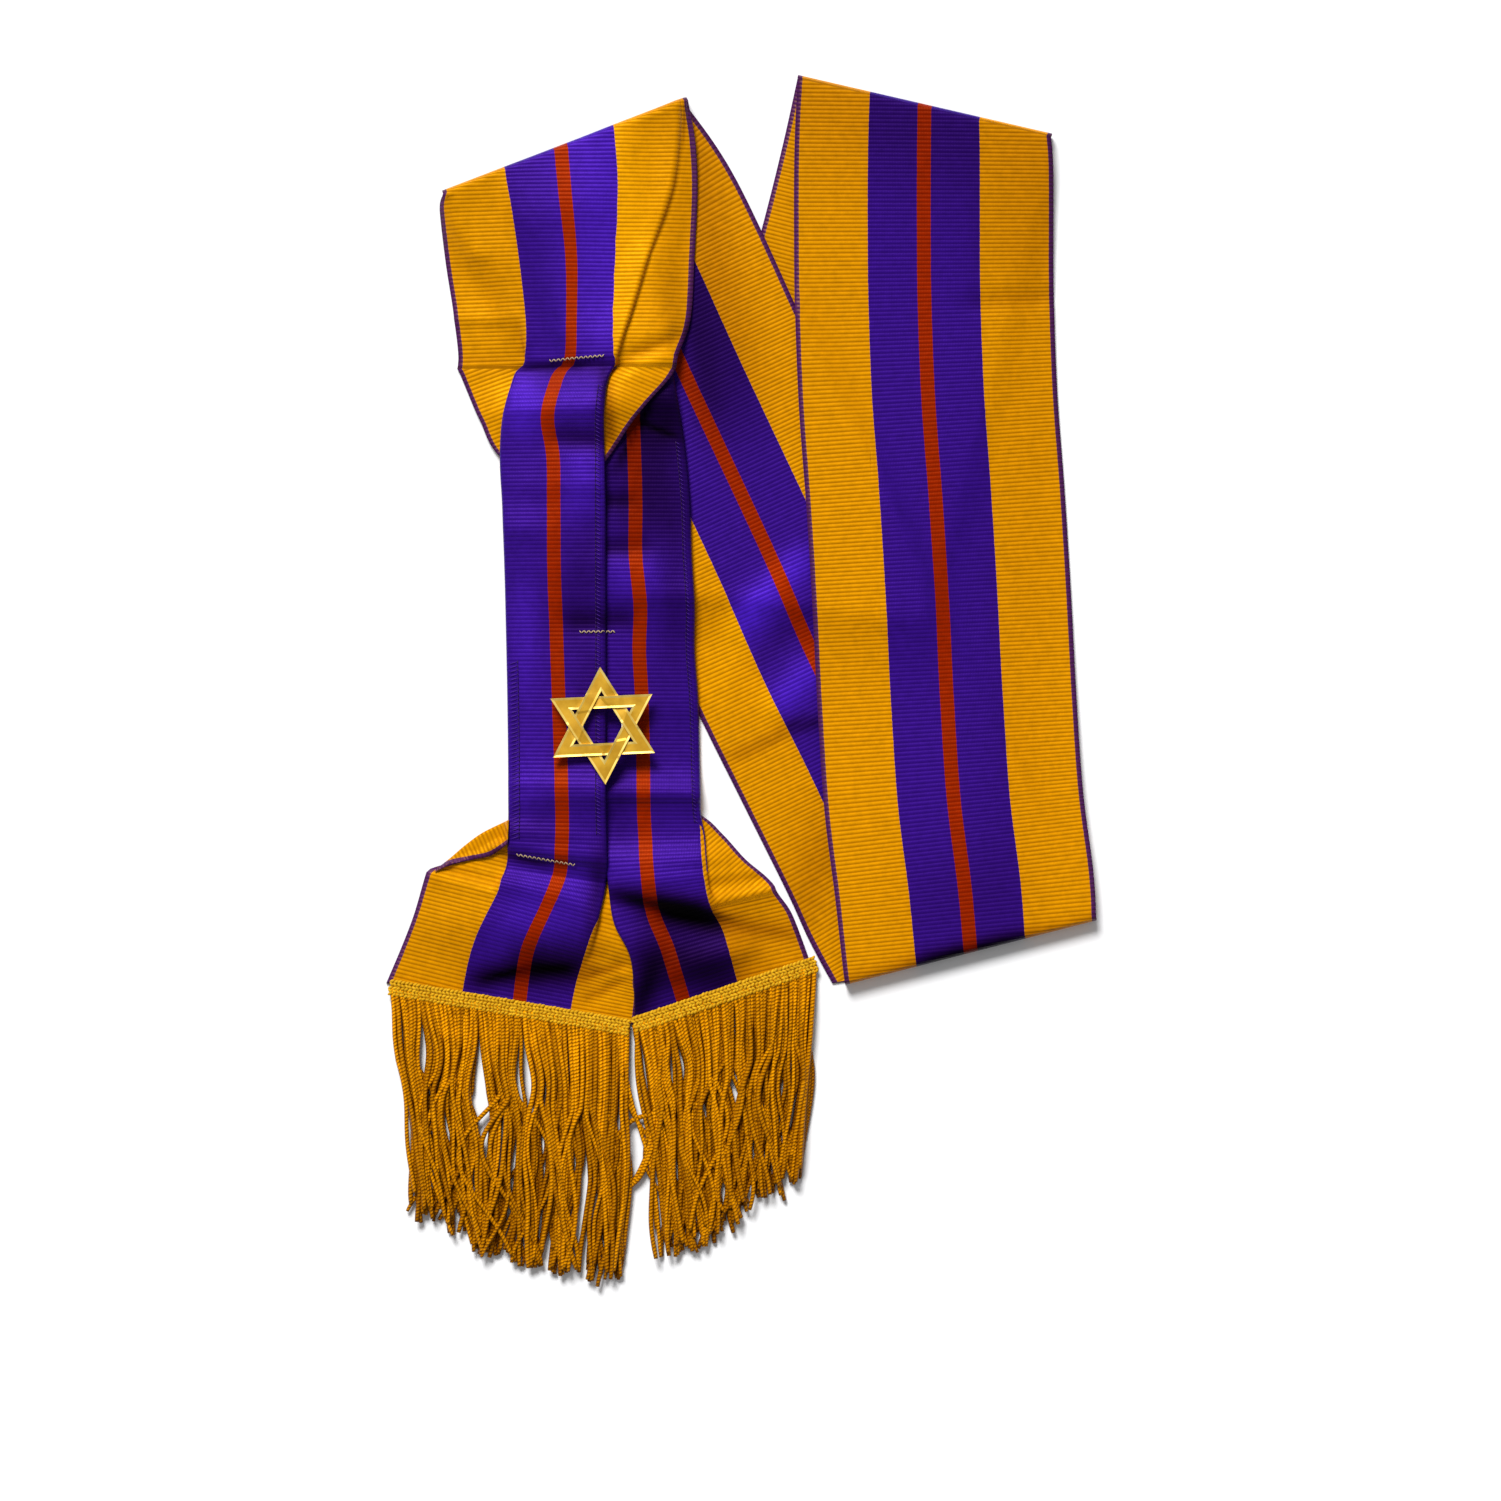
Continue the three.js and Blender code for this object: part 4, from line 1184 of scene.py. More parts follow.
@dataclass(frozen=True)
class RibbonFinish:
    """Ribbed ribbon, woven in gold, purple and red stripes with a dark selvedge."""

    gold: Colour = (211, 138, 2)
    purple: Colour = (43, 11, 114)
    red: Colour = (137, 28, 0)
    selvedge: Colour = (72, 18, 92)
    shaded_valley: Colour = (0.42, 0.28, 0.3)  # painted shade: what the colour is multiplied by deep between the ribs
    purple_gleam: Colour = (0.2, 0.045, 0.74)
    gold_gleam: Colour = (0.86, 0.45, 0.0)
    red_gleam: Colour = (0.76, 0.12, 0.01)
    line_half: float = 2.7
    selvedge_from: float = 48.2
    thread_pitch: float = 0.62
    grain_scale: float = 2600.0
    relief: float = 0.00028  # in metres
    gold_follows: float = 0.45  # how far gold and red follow the purple's painted light and shade
    wander: float = 0.5  # how unevenly the stripes' edges run
    crown_power: float = 0.6
    tone_powers: tuple[float, float] = (0.85, 1.1)  # of the red, and of the green and blue, in the painted light and shade
    selvedge_rise: float = 0.5
    shine: float = 0.75

    def material(self) -> bpy.types.Material:
        """Makes the ribbon's material from the places stored on its points."""
        material, nodes, shader = new_material("ribbed ribbon")
        width, ribs, flap_ribs, tone = (nodes.stored(name) for name in CLOTH_VALUES)
        grain = nodes.add("ShaderNodeGroup", node_tree=fibre_grain(), Scale=self.grain_scale)
        wander = nodes.times(nodes.math("SUBTRACT", grain.outputs["Height"], 0.5), self.wander)
        edge = nodes.plus(nodes.math("ABSOLUTE", width), wander)
        in_line = nodes.math("LESS_THAN", edge, self.line_half)
        in_gold = nodes.math("GREATER_THAN", edge, STRIPE_EDGE)
        in_selvedge = nodes.math("GREATER_THAN", edge, self.selvedge_from)
        on_purple = nodes.math("SUBTRACT", 1.0, in_gold)
        stripes = nodes.mix(in_gold, colour(self.purple), colour(self.gold))
        stripes = nodes.mix(in_line, stripes, colour(self.red))
        stripes = nodes.mix(in_selvedge, stripes, colour(self.selvedge))
        gleam = nodes.mix(in_gold, (*self.purple_gleam, 1.0), (*self.gold_gleam, 1.0))
        gleam = nodes.mix(in_line, gleam, (*self.red_gleam, 1.0))
        across = nodes.plus(nodes.times(ribs, on_purple), nodes.times(flap_ribs, in_gold))
        wave = nodes.math("SINE", nodes.times(across, 2 * math.pi / RIB_PITCH))
        crown = nodes.math("POWER", nodes.scaled(wave, 0.5, 0.5), self.crown_power)
        shaded_valley = nodes.math("SUBTRACT", 1.0, crown)
        # painted shade: the colour is darker deep between the ribs, where shade would fall
        dark = nodes.times(shaded_valley, nodes.scaled(on_purple, -0.34, 0.6))
        stripes_with_valley_shade = nodes.mix(dark, stripes, nodes.mix(1.0, stripes, (*self.shaded_valley, 1.0), "MULTIPLY"))
        plain = nodes.math("SUBTRACT", on_purple, in_line)
        # painted light and shade: the stored tone darkens the colour in dents and folds and lightens bright
        # patches; gold and red follow it by a part, and it dims the specular tint too
        painted_light = nodes.math("POWER", tone, nodes.scaled(plain, 1 - self.gold_follows, self.gold_follows))
        grained = nodes.scaled(grain.outputs["Tone"], 0.8, 0.6)
        toned = [nodes.math("POWER", painted_light, power) for power in self.tone_powers]
        red, other = (nodes.times(grained, power) for power in toned)
        shade = nodes.add("ShaderNodeCombineColor", Red=red, Green=other, Blue=other).outputs[0]
        warp = nodes.math("SINE", nodes.times(width, 2 * math.pi / self.thread_pitch))
        threads = nodes.times(warp, nodes.scaled(on_purple, 0.06, 0.02))
        ribbed = nodes.times(crown, nodes.scaled(on_purple, -0.3, 1.0))
        height = nodes.plus(nodes.plus(ribbed, threads), nodes.times(in_selvedge, self.selvedge_rise))
        nodes.bump(shader, nodes.scaled(grain.outputs["Height"], 0.25, height), 0.6, self.relief)
        nodes.tune(
            shader,
            Base_Color=nodes.mix(1.0, stripes_with_valley_shade, shade, "MULTIPLY"),
            Specular_Tint=nodes.mix(1.0, gleam, shade, "MULTIPLY"),
            Specular_IOR_Level=self.shine,
            Roughness=nodes.scaled(shaded_valley, 0.15, 0.42),
        )
        return material


@dataclass(frozen=True)
class CordFinish:
    """Twisted two-ply cord, drawn lighter on its plies and darker deep in its twist and on its sides:
    painted light and shade.
    """

    name: str = "twisted cord"
    lit: Colour = (246, 160, 6)
    # painted shade: the colour deep in the twist and on the cord's sides
    deep: Colour = (88, 34, 0)
    gleam: Colour = (1.0, 0.52, 0.0)
    twist_pitch: float = 2.7
    grain_scale: float = 3400.0
    relief: float = 0.0004  # in metres

    def material(self) -> bpy.types.Material:
        """Makes the cord's material from the side, run and shade stored on its points."""
        material, nodes, shader = new_material(self.name)
        sideways, upward, run, shade = (nodes.stored(f"cord_{name}") for name in CORD_VALUES)
        grain = nodes.add("ShaderNodeGroup", node_tree=fibre_grain(), Scale=self.grain_scale)
        turn = nodes.times(run, 2 * math.pi / self.twist_pitch)
        first = nodes.times(upward, nodes.math("COSINE", turn))
        second = nodes.times(sideways, nodes.math("SINE", turn))
        ply = nodes.math("POWER", nodes.math("ABSOLUTE", nodes.plus(first, second)), 0.8)
        mask = nodes.plus(nodes.times(ply, 0.72), nodes.scaled(grain.outputs["Tone"], 1.5, -0.5))
        crest = nodes.scaled(upward, 0.62, 0.46)  # the sides of a cord lie in its shade
        mask = nodes.clamped(nodes.times(nodes.times(mask, crest), shade))
        nodes.bump(shader, nodes.scaled(grain.outputs["Height"], 0.35, ply), 0.8, self.relief)
        nodes.tune(
            shader,
            Base_Color=nodes.mix(mask, colour(self.deep), colour(self.lit)),
            Specular_Tint=(*self.gleam, 1.0),
            Specular_IOR_Level=0.5,
            Roughness=0.5,
        )
        return material


@dataclass(frozen=True)
class GiltFinish:
    """Gilt metal in soft worn patches; the star's rim keeps its pale colours as a painted highlight, and a
    duller copy paints shade in the bars' hollows.
    """

    name: str = "gilt with painted highlight"
    # painted highlight: these pale colours stand for the light on the star's rim
    lit: Colour = (255, 226, 130)
    worn: Colour = (236, 190, 70)
    metallic: float = 0.5
    patch_scale: float = 160.0
    scratch_scale: float = 1500.0
    scratch_stretch: float = 0.12
    relief: float = 0.0001  # in metres

    def material(self) -> bpy.types.Material:
        """Makes the gilt material with soft wear patches and fine scratches."""
        material, nodes, shader = new_material(self.name)
        place = nodes.place()
        patches = nodes.noise(place, self.patch_scale, 4.0)
        mask = nodes.clamped(nodes.scaled(patches, 2.4, -0.7))
        stretch = nodes.add("ShaderNodeMapping", Vector=place, Scale=(1.0, self.scratch_stretch, 1.0))
        scratches = nodes.noise(stretch.outputs[0], self.scratch_scale, 2.0)
        nodes.bump(shader, scratches, 0.12, self.relief)
        nodes.tune(
            shader,
            Base_Color=nodes.mix(mask, colour(self.worn), colour(self.lit)),
            Roughness=nodes.scaled(patches, 0.2, 0.34),
            Metallic=self.metallic,
        )
        return material


@dataclass(frozen=True)
class TableFinish:
    """Plain pale table top with a very soft unevenness."""

    tone: Colour = (252, 252, 253)
    duller: float = 0.985
    cloud_scale: float = 30.0

    def material(self) -> bpy.types.Material:
        """Makes the table's material."""
        material, nodes, shader = new_material("pale table")
        pale = colour(self.tone)
        soft = (*(v * self.duller for v in pale[:3]), 1.0)
        clouds = nodes.noise(nodes.place(), self.cloud_scale, 2.0)
        base = nodes.mix(clouds, soft, pale)
        nodes.tune(shader, Base_Color=base, Roughness=0.9, Specular_IOR_Level=0.1)
        return material


class Parting(NamedTuple):
    """A gap between cords: its share of the line, its middle and reach down the cords, its width."""

    share: float
    middle: float
    reach: float
    width: float


class Stray(NamedTuple):
    """A cord that strays over its neighbours: its share of the line and three places that it passes."""

    share: float
    high: Place
    middle: Place
    low: Place


class Fringe(NamedTuple):
    """One fringe: its heading's line on the table, and where its cords end as (share, x, y)."""

    name: str
    start: Place
    end: Place
    tips: tuple[tuple[float, float, float], ...]
    partings: tuple[Parting, ...]
    strays: tuple[Stray, ...]
    cords: int
    seed: int


LEFT_FRINGE = Fringe(
    name="left",
    start=(-138.0, -119.2),
    end=(-43.8, -135.0),
    tips=(
        (0, -127.5, -203), (0.12, -121, -212), (0.4, -97, -226.5), (0.72, -70, -232),
        (0.86, -58.5, -236.2), (1, -46, -232),
    ),
    partings=(
        Parting(0.035, 0.24, 0.12, 5.0),
        Parting(0.13, 0.28, 0.13, 8.5),
        Parting(0.37, 0.38, 0.17, 12.0),
        Parting(0.55, 0.28, 0.13, 9.0),
        Parting(0.8, 0.6, 0.1, 2.4),
        Parting(0.96, 0.5, 0.2, 3.4),
    ),
    strays=(
        Stray(0.95, (-44.5, -164), (-38, -176), (-29, -180)),
        Stray(0.985, (-43.2, -163), (-35.5, -190), (-31.6, -225)),
        Stray(0.9, (-52, -170), (-44, -186), (-46, -222)),
        Stray(0.06, (-125, -166), (-121, -186), (-131, -207)),
    ),
    cords=54,
    seed=11,
)
RIGHT_FRINGE = Fringe(
    name="right",
    start=(-42.4, -134.0),
    end=(29.4, -110.0),
    tips=(
        (0, -28.5, -221), (0.12, -22.5, -225), (0.3, -14, -221), (0.45, -6, -215), (0.6, 1, -207.5),
        (0.8, 12, -200), (1, 24, -193),
    ),
    partings=(
        Parting(0.02, 0.22, 0.12, 5.0),
        Parting(0.2, 0.26, 0.12, 9.0),
        Parting(0.32, 0.62, 0.12, 5.4),
        Parting(0.62, 0.3, 0.1, 2.0),
        Parting(0.9, 0.5, 0.12, 2.6),
    ),
    strays=(
        Stray(0.04, (-34, -168), (-37, -184), (-46.5, -203)),
        Stray(0.09, (-33, -174), (-38, -190), (-44, -198)),
        Stray(0.14, (-30, -166), (-42, -171), (-49, -178)),
        Stray(0.02, (-40, -160), (-36, -180), (-33.5, -214)),
    ),
    cords=42,
    seed=23,
)


@dataclass
class FringeMaker:
    """Builds a fringe: a chain-stitched heading, and twisted cords that hang from it in layers."""

    plan: Fringe
    ribbon: Ribbon
    cord_radius: float = 0.92
    cord_sizes: tuple[float, float] = (0.74, 1.12)  # the thinnest and thickest cord's share of the radius
    sides: int = 8
    rings: int = 52
    layer_shifts: tuple[float, ...] = (-0.3, 0.0, 0.3)  # from the lowest layer to the top one
    # painted shade: the lower layers, under the upper cords, are drawn darker
    layer_painted_shades: tuple[float, ...] = (0.3, 0.62, 1.0)
    layer_rise: float = 1.2  # from layer to layer, in cord radii
    pair_shift: float = 0.12
    root_spread: float = 2.4
    root_reach: float = 0.06
    # painted light and shade along each cord: lighter at the root and darker towards the tip, as deep among
    # the tangled lower cords
    root_tone: float = 1.12
    shade_to_tip: float = 0.48  # how much darker, as painted shade, the tip is than the root
    cord_tones: tuple[float, float] = (0.5, 1.16)
    tip_length: float = 0.035
    tip_narrows: float = 0.16
    bundle: int = 4  # cords that hang together
    bundle_sways: tuple[float, float] = (3.2, 2.8)  # how far a bundle leans and bows
    cord_sways: tuple[float, float, float] = (0.8, 2.6, 0.5)  # each cord's long, tangled and short sway
    gap_fades: float = 9.0
    gap_sharpness: float = 80.0
    tangled_from: float = 0.36  # the cords hang in order above this share of their length
    tip_uneven: tuple[float, float] = (3.2, 4.8)  # across and along
    root_height: float = 0.5
    stray_height: float = 4.2
    stray_knots: tuple[float, ...] = (0, 0.45, 0.68, 1)
    heading_width: float = 6.2
    rest_eased: float = 0.08
    rest_reach: float = 4.0
    tape_height: float = 0.9
    tape_steps: int = 40
    # painted shade: the tape that shows between the stitches is drawn darker
    tape_shade: float = 0.4
    stitch_pitch: float = 1.5
    stitch_rows: int = 5
    stitch_reach: float = 1.15
    stitch_size: tuple[float, float] = (0.62, 0.5)  # half its width and half its height
    stitch_grid: tuple[int, int] = (7, 8)  # rings and sides
    stitch_height: float = 0.8
    stitch_arch: float = 0.35
    stitch_leans: tuple[float, float] = (0.45, 0.7)
    stitch_tones: tuple[float, float] = (0.7, 1.1)

    def place(self, share: float) -> Array:
        """Gives the place on the heading's line at a share of its length."""
        start, end = np.array(self.plan.start), np.array(self.plan.end)
        return start + (end - start) * share

    def tip(self, share: float) -> Array:
        """Gives where a cord at a share of the line ends."""
        table = np.array(self.plan.tips)
        return np.array([np.interp(share, table[:, 0], table[:, k]) for k in (1, 2)])

    def rest(self, share: float) -> float:
        """Gives the height that the heading rests at, eased along the line.

        Args:
            share: the place's share of the line.

        Returns:
            The height of what lies under it.
        """
        steps = (-self.rest_eased, 0, self.rest_eased)
        places = [self.place(min(max(share + step, 0), 1)) for step in steps]
        return float(np.mean([self.ribbon.tops.highest(*place, self.rest_reach) for place in places]))

    def parted(self, share: float, f: Array) -> Array:
        """Gives how far the gaps push a cord along the line.

        Args:
            share: the cord's share of the line.
            f: shares of the cord's length.

        Returns:
            The push at each share, to the right where positive.
        """
        push = np.zeros_like(f)
        for gap in self.plan.partings:
            away = share - gap.share
            near = math.exp(-abs(away) * self.gap_fades) * math.tanh(away * self.gap_sharpness)
            push += near * gap.width / 2 * np.exp(-(((f - gap.middle) / gap.reach) ** 2))
        return push

    def cord_path(self, k: int, layer: int, random: np.random.Generator) -> Array:
        """Gives the middle line of one cord.

        Args:
            k: the cord's number from the left.
            layer: 0 for the lowest layer.
            random: the source of unevenness.

        Returns:
            Points from the heading to the tip.
        """
        f = np.linspace(0, 1, self.rings)
        pair = self.layer_shifts[layer] + (self.pair_shift if k % 2 else -self.pair_shift)
        share = (k + 0.5 + random.uniform(-0.2, 0.2)) / self.plan.cords
        root = self.place(share)
        line = unit(self.place(1) - self.place(0))
        inward = min(1.0, 0.15 + 6 * min(share, 1 - share))  # the outer cords hang straighter
        across, along = self.tip_uneven
        tip = self.tip(share) + [random.normal(0, across) * inward, abs(random.normal(0, along))]
        bundle = np.random.default_rng((self.plan.seed, layer, (k + 2 * layer) // self.bundle))
        lean, bow = (bundle.normal(0, reach) for reach in self.bundle_sways)
        bend = bundle.uniform(0.8, 1.5)
        long, tangled, short = self.cord_sways
        low = np.clip((f - self.tangled_from) / (1 - self.tangled_from), 0, 1)
        gathered = self.cord_radius * self.root_spread * np.exp(-((f / self.root_reach) ** 2))
        sway = self.parted(share, f) - pair * gathered
        sway += lean * low**1.5 + bow * np.sin(np.pi * low * bend)
        sway += random.normal(0, long) * np.sin(np.pi * f) * np.sqrt(f)
        sway += random.normal(0, tangled) * np.sin(np.pi * low * random.uniform(0.8, 2.2))
        sway += random.normal(0, short) * np.sin(5 * np.pi * f + random.uniform(0, 6)) * f
        centre = root + (tip - root) * f[:, None] + line * (sway * inward)[:, None]
        high = self.rest(share) + self.root_height
        floor = self.cord_radius * (1 + self.layer_rise * layer) + random.uniform(0, 0.9)
        fall = smooth_step(np.minimum(1, f * 4.0))
        z = high * (1 - fall) + floor * fall
        z += 0.5 * layer * f * np.sin(f * random.uniform(6, 12) + random.uniform(0, 6))
        return np.column_stack([centre, np.maximum(z, self.cord_radius)])

    def stray_path(self, stray: Stray) -> Array:
        """Gives the middle line of a cord that strays over its neighbours.

        Args:
            stray: the cord.

        Returns:
            Points from the heading to the tip.
        """
        f = np.linspace(0, 1, self.rings)
        places = np.array([self.place(stray.share), *stray[1:]])
        fall = smooth_step(np.minimum(1, f * 3.0))
        high = self.rest(stray.share) + self.root_height
        z = high * (1 - fall) + self.stray_height * fall * (1 - 0.6 * f)
        return np.column_stack([*(curve(f, np.array(self.stray_knots), v) for v in places.T), z])

    def cords(self, layer: int) -> Piece:
        """Makes one layer of cords; the top layer has the stray cords too.

        Args:
            layer: 0 for the lowest layer.

        Returns:
            The cords as one piece.
        """
        random = np.random.default_rng(self.plan.seed + layer)
        f = np.linspace(0, 1, self.rings)
        blunt = 1 - self.tip_narrows * np.clip((f - (1 - self.tip_length)) / self.tip_length, 0, 1)
        # painted shade, darker towards the tips
        tip_shade = self.root_tone - self.shade_to_tip * np.sqrt(f)
        paths = [self.cord_path(k, layer, random) for k in range(self.plan.cords)]
        if layer == len(self.layer_painted_shades) - 1:
            paths += [self.stray_path(stray) for stray in self.plan.strays]
        points, runs, shades = [], [], []
        for path in paths:
            tangent = unit(np.gradient(path, axis=0))
            sideways = unit(np.cross(tangent, UP))
            radius = self.cord_radius * random.uniform(*self.cord_sizes) * blunt
            points.append(tube(path, sideways, np.cross(sideways, tangent), radius, radius, self.sides))
            runs.append(distance_along(path) + random.uniform(0, 4))
            shades.append(random.uniform(*self.cord_tones) * self.layer_painted_shades[layer] * tip_shade)
        angle = ring_angles(self.sides)
        return cord_piece(
            f"fringe_{self.plan.name}_cords_{layer}",
            points,
            tube_faces(len(paths), self.rings, self.sides),
            np.tile(np.cos(angle), self.rings * len(paths)),
            np.tile(np.sin(angle), self.rings * len(paths)),
            np.repeat(runs, self.sides),
            np.repeat(shades, self.sides),
        )

    def heading(self) -> Piece:
        """Makes the heading: rows of slanting chain stitches over a flat tape.

        Returns:
            The heading as one piece.
        """
        length = math.dist(self.plan.start, self.plan.end)
        count = round(length / self.stitch_pitch)
        line = (self.place(1) - self.place(0)) / length
        down = np.array([line[1], -line[0]])
        random = np.random.default_rng(self.plan.seed + 5)
        rings, sides = self.stitch_grid
        t = np.linspace(-1, 1, rings)
        swell = np.sqrt(np.maximum(1 - t**2, 0.02))
        wide, high = (size * swell for size in self.stitch_size)
        points, shades = [], []
        for k in range(count):
            share = (k + 0.5) / count
            z = self.rest(share)
            for row in range(self.stitch_rows):
                slant = 1 if row % 2 else -1
                offset = (row + 0.5) / self.stitch_rows - 0.5
                middle = self.place(share) + down * offset * self.heading_width
                middle = middle + line * random.uniform(-0.2, 0.2) + down * random.uniform(-0.15, 0.15)
                direction = unit(line * 0.75 + down * slant * random.uniform(*self.stitch_leans))
                path = middle + direction * t[:, None] * self.stitch_reach
                path = np.column_stack([path, z + self.stitch_height + self.stitch_arch * swell])
                points.append(tube(path, np.array([-direction[1], direction[0], 0]), UP, wide, high, sides))
                shades.append(np.full(rings * sides, random.uniform(*self.stitch_tones)))
        faces = tube_faces(len(points), rings, sides)
        tape = []
        for share in np.linspace(0.004, 0.996, self.tape_steps):
            z = self.rest(share)
            for offset, height in ((-0.5, 0), (0.5, 0), (0.5, self.tape_height), (-0.5, self.tape_height)):
                tape.append([*(self.place(share) + down * offset * self.heading_width), z + height])
        faces = np.vstack([faces, len(points) * rings * sides + tube_faces(1, self.tape_steps, 4)])
        shades.append(np.full(len(tape), self.tape_shade))
        name = f"fringe_{self.plan.name}_heading"
        return cord_piece(name, [*points, np.array(tape)], faces, 0.0, 0.8, 0.0, np.concatenate(shades))

    def build(self) -> list[Piece]:
        """Makes the fringe's pieces and dresses them.

        Returns:
            The cords, layer by layer, and the heading.
        """
        cord = CordFinish().material()
        braid = CordFinish("heading braid", (224, 172, 34), (150, 96, 2)).material()
        pieces = [self.cords(layer) for layer in range(len(self.layer_painted_shades))]
        pieces.append(self.heading())
        for piece in pieces:
            piece.data.materials.append(braid if piece is pieces[-1] else cord)
            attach(piece, "root")
        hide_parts(f"fringe_{self.plan.name}")
        return pieces


def block(place: Point, size: Point) -> Piece:
    """Makes a plain block.

    Args:
        place: its middle, in millimetres.
        size: its sides, in millimetres.

    Returns:
        The block, selected and with its placing not yet applied.
    """
    bpy.ops.object.select_all(action="DESELECT")
    bpy.ops.mesh.primitive_cube_add(size=1, location=[v * MM for v in place])
    made = bpy.context.active_object
    made.scale = [v * MM for v in size]
    return made


def joined(pieces: list[Piece]) -> None:
    """Applies the pieces' placing and joins them into the first one.

    Args:
        pieces: the pieces.
    """
    bpy.ops.object.select_all(action="DESELECT")
    for piece in pieces:
        piece.select_set(True)
    bpy.context.view_layer.objects.active = pieces[0]
    bpy.ops.object.transform_apply()
    bpy.ops.object.join()


def pick(piece: Piece, kind: str, chosen: Callable[[object], bool]) -> None:
    """Selects some of a piece's faces or corners, and leaves it in edit mode.

    Args:
        piece: the piece.
        kind: FACE or VERT.
        chosen: tells whether a face or corner is selected.
    """
    bpy.ops.object.mode_set(mode="EDIT")
    bpy.ops.mesh.select_mode(type=kind)
    bpy.ops.mesh.select_all(action="DESELECT")
    bpy.ops.object.mode_set(mode="OBJECT")
    for part in piece.data.polygons if kind == "FACE" else piece.data.vertices:
        part.select = chosen(part)
    bpy.ops.object.mode_set(mode="EDIT")


